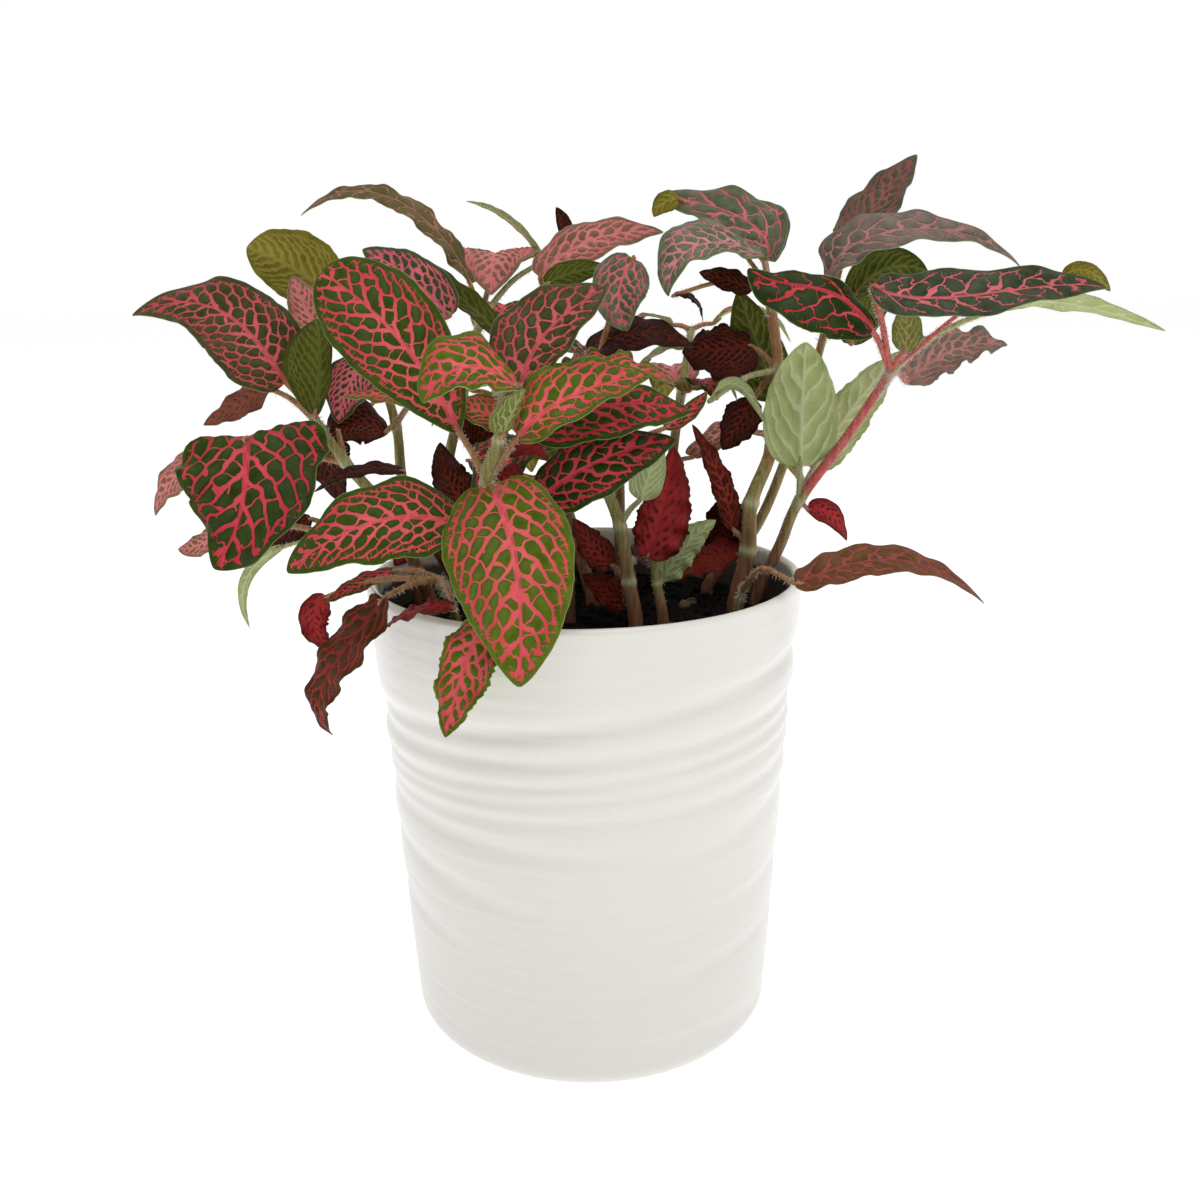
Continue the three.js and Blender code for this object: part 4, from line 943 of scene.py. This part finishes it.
# Tone -> the colours of an upper side: its cells, dark and light, and its veins, in the middle of the leaf
# and towards its margin. Up to three numbers follow, otherwise 1, 0 and 0.55: how bold the veins are, how far
# their colour bleeds into the cells, and how pale the margin is.
UPPER_SIDES = {
    "bright": [(0.058, 0.1, 0.001), (0.14, 0.19, 0.006), (0.86, 0.145, 0.155), (0.66, 0.065, 0.085)],
    "lush": [(0.026, 0.056, 0.0), (0.068, 0.115, 0.002), (0.84, 0.14, 0.16), (0.64, 0.06, 0.085)],
    "deep": [(0.015, 0.035, 0.0), (0.05, 0.085, 0.003), (0.7, 0.08, 0.105), (0.54, 0.028, 0.052)],
    # The next three tones have greyish pale cell colours: a painted whitish sheen, of light on leaves that
    # face up.
    "dark": [(0.026, 0.04, 0.012), (0.085, 0.115, 0.055), (0.74, 0.18, 0.2), (0.6, 0.1, 0.13), 0.9],
    "ashen": [(0.064, 0.081, 0.034), (0.2, 0.225, 0.135), (0.7, 0.175, 0.195), (0.55, 0.1, 0.125), 0.9],
    "frosted": [(0.08, 0.105, 0.046), (0.25, 0.29, 0.185), (0.72, 0.28, 0.29), (0.57, 0.17, 0.19), 0.9],
    "night": [(0.008, 0.024, 0.0), (0.028, 0.058, 0.002), (0.7, 0.08, 0.1), (0.52, 0.028, 0.045)],
    "dusky": [(0.026, 0.038, 0.004), (0.07, 0.088, 0.024), (0.66, 0.12, 0.125), (0.5, 0.065, 0.075),
              0.95, 0.04],
    "misty": [(0.1, 0.098, 0.062), (0.24, 0.216, 0.174), (0.53, 0.235, 0.22), (0.41, 0.16, 0.15), 0.9, 0.1],
    "murky": [(0.06, 0.069, 0.032), (0.142, 0.15, 0.09), (0.3, 0.105, 0.09), (0.23, 0.07, 0.062), 0.9, 0.1],
    # painted light: pale, greyed cell colours stand in for light shining through these leaves from behind
    "washed": [(0.108, 0.084, 0.034), (0.24, 0.18, 0.1), (0.76, 0.24, 0.22), (0.66, 0.18, 0.175), 1.05, 0.25],
    "tawny": [(0.1, 0.082, 0.022), (0.2, 0.155, 0.06), (0.22, 0.15, 0.06), (0.52, 0.2, 0.17), 0.8, 0.1],
    "crimson": [(0.035, 0.01, 0.002), (0.11, 0.014, 0.006), (0.46, 0.035, 0.04), (0.26, 0.014, 0.016),
                1.7, 0.28, 0.1],
    "wine": [(0.04, 0.007, 0.002), (0.095, 0.014, 0.004), (0.34, 0.037, 0.022), (0.2, 0.015, 0.011),
             1.2, 0.15, 0.1],
    # painted shade: a real dark red, darkened nearly to black for leaves in the shadow inside the plant
    "maroon": [(0.008, 0.004, 0.001), (0.025, 0.008, 0.001), (0.18, 0.021, 0.01), (0.1, 0.009, 0.004),
               0.7, 0.06, 0.1],
    "brown": [(0.045, 0.019, 0.003), (0.1, 0.043, 0.01), (0.22, 0.035, 0.022), (0.36, 0.03, 0.03),
              0.9, 0.1, 0.1],
    "russet": [(0.085, 0.045, 0.01), (0.19, 0.09, 0.035), (0.32, 0.08, 0.055), (0.33, 0.06, 0.05),
               1.0, 0.32, 0.2],
    "sprout": [(0.165, 0.2, 0.04), (0.27, 0.31, 0.09), (0.38, 0.4, 0.17), (0.35, 0.37, 0.13), 0.6],
    "young": [(0.14, 0.16, 0.03), (0.24, 0.26, 0.06), (0.4, 0.28, 0.12), (0.3, 0.26, 0.09), 0.6],
}
# Tone -> the colours of an underside: its cells, light and shaded, and its veins, and how strong these are.
UNDERSIDES = {
    "sage": [(0.46, 0.51, 0.23), (0.34, 0.41, 0.155), (0.62, 0.65, 0.4), 0.5],
    "olive": [(0.24, 0.19, 0.018), (0.13, 0.115, 0.003), (0.36, 0.3, 0.07), 0.5],
    "moss": [(0.1, 0.122, 0.007), (0.053, 0.072, 0.002), (0.21, 0.23, 0.06), 0.5],
    "fern": [(0.072, 0.08, 0.002), (0.038, 0.045, 0.001), (0.155, 0.16, 0.03), 0.5],
    "russet": [(0.12, 0.05, 0.03), (0.07, 0.03, 0.015), (0.2, 0.08, 0.05), 0.75],
}
# The tones that have each underside. Then the upper side of the leaves that are named for the underside that
# they show, and the leaves that are alike on both sides.
BENEATH = {
    "sage": ["bright", "dark"],
    "olive": ["lush", "deep", "dusky", "tawny", "ashen", "frosted", "night", "washed"],
    "moss": ["misty", "murky"],
    "russet": ["wine", "crimson", "maroon", "russet", "brown"],
}
ABOVE = {"sage": "dark", "olive": "deep", "moss": "deep", "fern": "deep"}
SAME_BOTH_SIDES = ["young", "sprout"]


def shaded(colour, factor, more=0.0):
    return tuple(factor * a + more for a in colour)


def upper_side(name, green, light, vein, deep_vein, bold=1.0, haze=0.0, pale_edge=0.55):
    g = Surface(name, Specular_IOR_Level=0.13)
    veins, away = vein_mask(g, bold)
    out, rim, s = g.numbers("vein")
    _, share, _ = g.numbers("span")
    where = g.place()
    mottle = g.noise(where, 260.0, 4.0)
    patch = g.noise(where, 60.0, 2.0)
    cell = g.mix(g.step(mottle, 0.3, 0.75, 0.0, 0.8), green, light)
    cell = g.mix(g.fade(away, 1.0, 3.5, 0.4), cell, light)
    # painted sheen: a faint paler tint in the middle of the cells, in patches
    painted_sheen = g.step(away, 1.4, 3.2) * g.step(patch, 0.42, 0.62, 0.0, 0.3)
    cell = g.mix(painted_sheen, cell, shaded(light, 0.7, 0.06))
    cell = g.mix(g.fade(g.noise(where, 28.0, 2.0), 0.35, 0.65, 0.3), cell, shaded(green, 0.5))
    if haze:
        cell = g.mix(g.step(patch, 0.3, 0.7, 0.35 * haze, haze), cell, vein)
    towards_margin = g.step(share, 0.1, 0.8, 0.0, 0.75) + g.step(s, 0.45, 0.95, 0.0, 0.6)
    towards_margin = g.math("ADD", towards_margin, g.step(patch, 0.3, 0.7, -0.2, 0.25), clamp=True)
    line = g.mix(towards_margin, vein, deep_vein)
    brown = tuple(0.45 * a + 0.2 * b for a, b in zip(vein, light))
    line = g.mix(g.fade(s, 0.0, 0.14, 0.8), line, brown)
    line = g.mix(g.step(mottle, 0.35, 0.7, 0.0, 0.25), line, deep_vein)
    line = g.mix(g.step(away, 0.35, 1.1, 0.0, 0.35), line, deep_vein)
    colour = g.mix(veins, cell, line)
    colour = g.mix(g.fade(rim, 0.05, 0.25, pale_edge), colour, MARGIN)
    grain = g.noise(where, 1900.0, 2.0)
    g.bump((g.step(away, 0.8, 2.6) + 0.25 * grain) * g.step(out, 0.1, 0.7), 0.2)
    return g.finish(Base_Color=colour, Roughness=g.step(grain, 0.3, 0.7, 0.43, 0.6))


def under_side(name, base, shade, line, strength):
    """Pale, with the veins standing out a little lighter."""
    g = Surface(name, Roughness=0.6, Specular_IOR_Level=0.15)
    veins, away = vein_mask(g, 0.75, 0.35)
    out, _, _ = g.numbers("vein")
    where = g.place()
    cell = g.mix(g.step(g.noise(where, 120.0, 4.0), 0.3, 0.7), base, shade)
    # painted shade: the cells darken towards their middles, away from the raised veins
    cell = g.mix(g.step(away, 1.0, 5.0, 0.0, 0.25), cell, shade)
    height = 0.3 * g.noise(where, 1500.0, 2.0) - g.step(away, 0.6, 2.5)
    g.bump(height * g.step(out, 0.1, 0.7), 0.17)
    return g.finish(Base_Color=g.mix(veins * strength, cell, line))


def leaf_materials():
    """Tone -> (material of the upper side, material of the underside)."""
    upper = {tone: upper_side("leaf_" + tone, *looks) for tone, looks in UPPER_SIDES.items()}
    under = {tone: under_side("under_" + tone, *looks) for tone, looks in UNDERSIDES.items()}
    tones = {tone: (upper[tone], under[below]) for below, group in BENEATH.items() for tone in group}
    tones.update({tone: (upper[above], under[tone]) for tone, above in ABOVE.items()})
    tones.update({tone: (upper[tone], upper[tone]) for tone in SAME_BOTH_SIDES})
    return tones


def stem_material():
    """Brown-red low down and green at the nodes, or rosy all along, with fine streaks."""
    g = Surface("stem", Roughness=0.45, Specular_IOR_Level=0.3)
    along, swelling, rosy = g.numbers("stem")
    where = g.place()
    streaks = g.noise(g.stretched(where, (900.0, 900.0, 60.0)), 1.0, 3.0)
    streaky = g.step(streaks, 0.3, 0.7)
    brown = g.mix(streaky, (0.15, 0.05, 0.022), (0.3, 0.13, 0.08))
    green = g.mix(streaky, (0.19, 0.19, 0.035), (0.38, 0.37, 0.14))
    rose = g.mix(streaky, (0.42, 0.06, 0.055), (0.6, 0.14, 0.115))
    pale = g.mix(streaky, (0.4, 0.42, 0.2), (0.62, 0.62, 0.42))
    browned = g.step(along, 0.05, 0.65, 0.95, 0.18) * g.step(swelling, 0.1, 0.9, 1.0, 0.35)
    reddened = rosy * g.step(along, 0.51, 0.57) * g.step(swelling, 0.3, 1.0, 1.0, 0.3)
    colour = g.mix(reddened, g.mix(browned, green, brown), rose)
    g.bump(streaks + 0.4 * g.noise(where, 1600.0), 0.12)
    return g.finish(Base_Color=g.mix(0.6 * swelling, colour, pale))


def hair_material():
    g = Surface("hair", Roughness=0.5)
    return g.finish(Base_Color=g.mix(g.noise(g.place(), 200.0), (0.62, 0.6, 0.5), (0.85, 0.83, 0.76)))


def glaze_material():
    """Warm white glaze, a little uneven in tone and gloss, with faint pinholes."""
    g = Surface("glaze", Coat_Weight=0.35, Coat_Roughness=0.12)
    where = g.place()
    x, y, z = g.parts(where)
    cloud = g.noise(where, 14.0, 3.0)
    colour = g.mix(g.step(cloud, 0.3, 0.7), (0.83, 0.806, 0.758), (0.85, 0.827, 0.782))
    # painted shade: the glaze is darker towards the bottom
    colour = g.mix(g.fade(z, 0.0, 0.8 * POT_HEIGHT * MM, 0.5), colour, (0.66, 0.64, 0.6))
    pit = g.fade(g.cells(where, 260.0), 0.02, 0.07)
    colour = g.mix(0.25 * pit, colour, (0.55, 0.5, 0.42))
    ripple = g.noise(g.stretched(where, (30.0, 30.0, 420.0)), 1.0, 3.0)
    g.bump(ripple + 0.6 * cloud - 0.5 * pit, 0.16)
    # inside, under the lip, the wall turns dark brown up to a ragged line a little over the peat
    radius = g.math("SQRT", x * x + y * y)
    inner = RIM_RADIUS - WALL
    inside = g.fade(radius, (inner + 0.25) * MM, (inner + 0.45) * MM)
    above_band = z - (8 * MM * g.noise(where, 70.0, 4.0) + (SOIL_TOP + 5) * MM)
    dark_band = inside * g.fade(above_band, -1.5 * MM, 1.5 * MM, 0.93) * g.math("GREATER_THAN", z, (SOIL_TOP - 2) * MM)
    colour = g.mix(dark_band, colour, (0.045, 0.03, 0.018))
    return g.finish(Base_Color=colour, Roughness=g.step(cloud, 0.2, 0.8, 0.3, 0.36))


def peat_material():
    g = Surface("peat", Roughness=0.95, Specular_IOR_Level=0.2)
    where = g.place()
    crumbs = g.noise(where, 500.0, 5.0, 0.7)
    colour = g.mix(g.step(crumbs, 0.35, 0.75), (0.003, 0.0025, 0.002), (0.013, 0.01, 0.0075))
    tint = g.step(g.noise(where, 130.0, 3.0), 0.58, 0.75, 0.0, 0.7)
    g.bump(crumbs, 0.8)
    return g.finish(Base_Color=g.mix(tint, colour, (0.026, 0.016, 0.01)))


def bark_material():
    g = Surface("bark", Roughness=0.85)
    grain = g.noise(g.stretched(g.place(), (250.0, 900.0, 500.0)), 1.0, 4.0)
    g.bump(grain, 0.4)
    return g.finish(Base_Color=g.mix(g.step(grain, 0.3, 0.7), (0.05, 0.028, 0.014), (0.2, 0.13, 0.07)))


# ---------------------------------------------------------------- pot

GROOVES = (
    # height at the front, rise to the right, depth, half width, middle angle and spread of one that fades
    (113.5, 7, 1.5, 2.4, 0, 0),
    (104, 3, 1.3, 2, 0, 0),
    (97.5, 4.5, 1, 1.6, 0, 0),
    (92.5, 3.5, 0.7, 1.5, 0, 0),
    (86, 2, 0.9, 1.8, 0, 0),
    (75.5, -4, 0.9, 2.4, -40, 55),
    (66, 12, 0.7, 2.6, 65, 35),
    (54.5, -11, 0.8, 2.6, -50, 32),
    (46, 8, 0.5, 2.6, 70, 30),
    (35, -12, 0.5, 2.6, -65, 25),
    (30, 7, 0.5, 2.6, 40, 30),
    (15, -6, 0.4, 2.4, 45, 35),
)
IN_FRONT = 0.68  # a groove's depth in front, beside the depth above
AT_SIDES = 0.52  # and what that gains at the sides
FADING = 1.3  # how much deeper a fading groove is
SOFTENED = 1.3  # how much wider a groove is than the half width above


def wall_radius(angle, z):
    """The angle is 0 at the viewer's side and grows to the right."""
    radius = BASE_RADIUS + (RIM_RADIUS - BASE_RADIUS) * z / POT_HEIGHT
    deeper = IN_FRONT + AT_SIDES * np.sin(angle) ** 2
    for height, rise, depth, width, middle, spread in GROOVES:
        away = (np.degrees(angle) - middle + 180) % 360 - 180
        fade = FADING * np.exp(-((away / spread) ** 2)) if spread else 1.0
        dip = np.exp(-(((z - height - rise * np.sin(angle)) / (SOFTENED * width)) ** 2))
        radius = radius - deeper * depth * fade * dip
    swirl = np.sin(z / 0.9 + 3 * np.sin(angle + z / 31)) + 0.6 * np.sin(z / 0.52 + 2 * np.cos(angle))
    return radius + 0.03 * swirl + 0.25 * np.sin(2 * angle + z / 40)


def ring(angles, radius, z):
    """A row of points round the pot's axis, from the viewer's side to the right."""
    return np.stack(np.broadcast_arrays(radius * np.sin(angles), -radius * np.cos(angles), z), -1)


def pot_rows(angles):
    """Rows of points from the middle of the base, up the outside, over the lip and down to the floor."""
    yield ring(angles, 0.5, 0.0)
    yield ring(angles, 30.0, 0.0)
    for a in np.radians(np.linspace(0, 90, 14)[:-1]):
        z = FOOT_ROUND * (1 - math.cos(a))
        yield ring(angles, wall_radius(angles, z) - FOOT_ROUND * (1 - math.sin(a)), z)
    for z in np.linspace(FOOT_ROUND, POT_HEIGHT - LIP_ROUND, 230):
        yield ring(angles, wall_radius(angles, z), z)
    middle = RIM_RADIUS - WALL / 2
    edge = wall_radius(angles, POT_HEIGHT - LIP_ROUND)
    for a in np.radians(np.linspace(0, 180, 12)[1:-1]):
        half = edge - middle if a < math.pi / 2 else WALL / 2
        yield ring(angles, middle + half * math.cos(a), POT_HEIGHT - LIP_ROUND * (1 - math.sin(a)))
    heights = [FLOOR + HEEL, SEAT, POT_HEIGHT]
    inner = [BASE_RADIUS - WALL, RIM_RADIUS - WALL - SEAT_IN, RIM_RADIUS - WALL]
    for z in np.linspace(POT_HEIGHT - LIP_ROUND, FLOOR + HEEL, 60):
        yield ring(angles, np.interp(z, heights, inner) + 0.12 * np.sin(z / 1.4 + np.sin(angles)), z)
    yield ring(angles, BASE_RADIUS - WALL - HEEL_IN, FLOOR)
    yield ring(angles, 0.5, FLOOR)


def build_pot(glaze):
    sides = 320
    skin = Skin()
    skin.loft(np.array(list(pot_rows(angles_round(sides)))), np.zeros(sides, int), {})
    pot = skin.object("glazed_pot", [glaze], sharp=70)
    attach(pot, "root")
    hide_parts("pot")


# ---------------------------------------------------------------- peat

SOIL_SEED = 7
CRUMBS = 900
CRUMB_SIZES = (0.5, 1.5)
CHIPS = 14  # bits of bark
CHIP_SIZES = (1.2, 2.6)


def soil_height(x, y):
    lumps = 0.6 * np.sin(x / 7 + 1) * np.cos(y / 9) + 0.4 * np.sin((x + y) / 4.5)
    crumbs = 0.35 * np.sin(x * 2.1 + 2 * np.sin(y * 0.9)) * np.cos(y * 1.9 + 1.5 * np.sin(x * 1.1))
    fine = 0.2 * np.sin(x * 5.3 + 3 * np.sin(y * 2.3)) * np.sin(y * 4.7 + 2 * np.cos(x * 3.1))
    return SOIL_TOP + SOIL_LUMP * (lumps + crumbs + fine)


def crumb(skin, centre, size, random, slot):
    """A small lump: a ball of few rows, squashed and dented."""
    rows, sides = 6, 8
    squash = random.uniform(0.55, 1.1, 3) * size
    turn = np.linalg.qr(random.normal(size=(3, 3)))[0]
    v = np.linspace(0.12, math.pi - 0.12, rows)[:, None]
    a = angles_round(sides)
    ball = np.stack(np.broadcast_arrays(np.sin(v) * np.cos(a), np.sin(v) * np.sin(a), np.cos(v)), -1)
    ball = ball * (1 + random.uniform(-0.22, 0.22, (rows, sides, 1))) * squash
    skin.loft((ball @ turn.T + centre)[:, ::-1], np.full(sides, slot), {})


def spot_within(radius, random):
    """A place on the peat, evenly drawn within a radius: x, y and the peat's height."""
    r, a = radius * math.sqrt(random.uniform()), random.uniform(0, TURN)
    x, y = r * math.cos(a), r * math.sin(a)
    return np.array([x, y, soil_height(x, y)])


def build_soil(peat, bark):
    random = np.random.default_rng(SOIL_SEED)
    sides = 300
    angles = angles_round(sides)
    base = BASE_RADIUS - WALL - GAP
    top = RIM_RADIUS - WALL - SEAT_IN - 2 * GAP
    plain = [(base - HEEL_IN, FLOOR + GAP), (base, FLOOR + HEEL), (top, SEAT)]
    rows = [ring(angles, radius, z) for radius, z in plain]
    for radius in np.linspace(top, 0.4, 110):
        x, y, _ = ring(angles, radius, 0.0).T
        rows.append(ring(angles, radius, soil_height(x, y)))
    skin = Skin()
    skin.loft(np.array(rows), np.zeros(sides, int), {})
    for _ in range(CRUMBS):
        spot = spot_within(top - 2.2, random)
        size = random.uniform(*CRUMB_SIZES)
        crumb(skin, spot + RISE * 0.25 * size, size, random, 0)
    for _ in range(CHIPS):
        spot = spot_within(top - 5, random)
        crumb(skin, spot + RISE * 0.6, random.uniform(*CHIP_SIZES), random, 1)
    soil = skin.object("loose_peat", [peat, bark], sharp=50)
    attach(soil, "root")
    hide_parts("soil")


# ---------------------------------------------------------------- the plant

ROSY = {"right_long": 1.0, "right_top": 0.25, "right": 0.35}
HAIR_SEED = 100
LEAF_SEED_STEP = 13
FUZZ = {"front": 1.0, "right_long": 1.3}  # how hairy the stems in front are
PLAIN_FUZZ = 0.4  # and the others
# hairs for each mm, and their length in mm
STEM_HAIRS = (9, 0.9)
TIP_HAIRS = (40, 1.9)
STALK_HAIRS = (10, 1.1)


def build_stems(name, shoot, materials, random):
    rosy = ROSY.get(name, 0.0)
    fuzz = FUZZ.get(name, PLAIN_FUZZ)
    skin = Skin()

    def hairs(path, radii, per_mm, length):
        add_hairs(skin, path, radii, per_mm * fuzz, length, random)

    path, radii = add_stem(skin, shoot, rosy)
    upper = len(path) // 3
    hairs(path[upper:], radii[upper:], *STEM_HAIRS)
    hairs(path[-9:], radii[-9:], *TIP_HAIRS)
    for shape in shoot["leaves"]:
        path, radii = add_stalk(skin, shoot, shape, rosy)
        hairs(path[:20], radii[:20], *STALK_HAIRS)
    return skin.object("stems_" + name, materials)


def build_leaves(name, shoot, tones, seed):
    skin = Skin()
    materials = []
    for k, shape in enumerate(shoot["leaves"]):
        for material in tones[shape["tone"]]:
            if material not in materials:
                materials.append(material)
        slots = [materials.index(material) for material in tones[shape["tone"]]]
        add_leaf(skin, shape, seed + k, slots)
    leaves = skin.object("leaves_" + name, materials, sharp=75)
    raise_blades(leaves)
    return leaves


def build_plant():
    tones = leaf_materials()
    stem_materials = [stem_material(), hair_material()]
    shoots = {**SHOOTS, **{name: sprig(**sizes) for name, sizes in SPRIGS.items()}}
    for number, (name, shoot) in enumerate(shoots.items()):
        stems = build_stems(name, shoot, stem_materials, np.random.default_rng(HAIR_SEED + number))
        leaves = build_leaves(name, shoot, tones, number * LEAF_SEED_STEP)
        for piece in (stems, leaves):
            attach(piece, "root")
            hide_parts("shoot_" + name)


# ---------------------------------------------------------------- stage

WHITE = (1.0, 1.0, 1.0)
FLOOR_HALF = 8.0  # in metres, as are the lamp's place and size


def build_floor():
    mesh = bpy.data.meshes.new("floor")
    corners = [(FLOOR_HALF * x, FLOOR_HALF * y, 0) for x, y in ((-1, -1), (1, -1), (1, 1), (-1, 1))]
    mesh.from_pydata(corners, [], [(0, 1, 2, 3)])
    g = Surface(
        "pale_floor", Roughness=0.9, Specular_IOR_Level=0.1, Emission_Strength=0.55, Emission_Color=WHITE)
    colour = g.mix(g.noise(g.place(), 3.0), (0.75, 0.75, 0.75), (0.77, 0.77, 0.77))
    mesh.materials.append(g.finish(Base_Color=colour))
    floor = add_object("floor", mesh)
    floor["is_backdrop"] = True


def add_light(name, position, target, size, power):
    light = bpy.data.lights.new(name, "AREA")
    light.shape = "SQUARE"
    light.size = size
    light.energy = power
    away = unit(np.array(position) - np.array(target))
    across = unit(np.cross(RISE, away))
    stand(add_object(name, light), across, np.cross(away, across), away, position)


def build_lights():
    """A white room, dimmer overhead and on the viewer's side, with a soft light above and in front."""
    world = bpy.data.worlds.new("studio")
    world.use_nodes = True
    g = Nodes(world.node_tree)
    _, y, z = g.parts(Value(g, g.node("ShaderNodeTexCoord").outputs["Generated"]))
    overhead = g.step(z, 0.2, 0.6, 1.0, 0.62)
    viewer = g.step(y, -0.6, 0.3, 0.55, 1.0)
    background = world.node_tree.nodes["Background"]
    g.put(overhead * viewer, background.inputs["Strength"])
    g.put(WHITE, background.inputs["Color"])
    bpy.context.scene.world = world
    add_light("soft_top", (0.25, -0.6, 2.0), target=(0.0, 0.0, 0.15), size=1.5, power=16.0)


def build_camera():
    camera = bpy.data.cameras.new("camera")
    camera.sensor_fit = "HORIZONTAL"
    camera.sensor_width = 36.0
    camera.lens = camera.sensor_width * FOCAL / (2 * CENTRE)
    camera.clip_start = 0.01
    viewer = add_object("camera", camera)
    stand(viewer, RIGHT, UP, -AHEAD, EYE * MM)
    bpy.context.scene.camera = viewer


build_camera()
build_lights()
build_floor()
build_pot(glaze_material())
build_soil(peat_material(), bark_material())
build_plant()

bpy.context.scene.view_settings.view_transform = "Standard"
bpy.context.view_layer.update()
sizes = {"cad": cad_bounds, "visual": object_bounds()}
{name: [list(map(float, corner)) for corner in box] for name, box in sizes.items()}
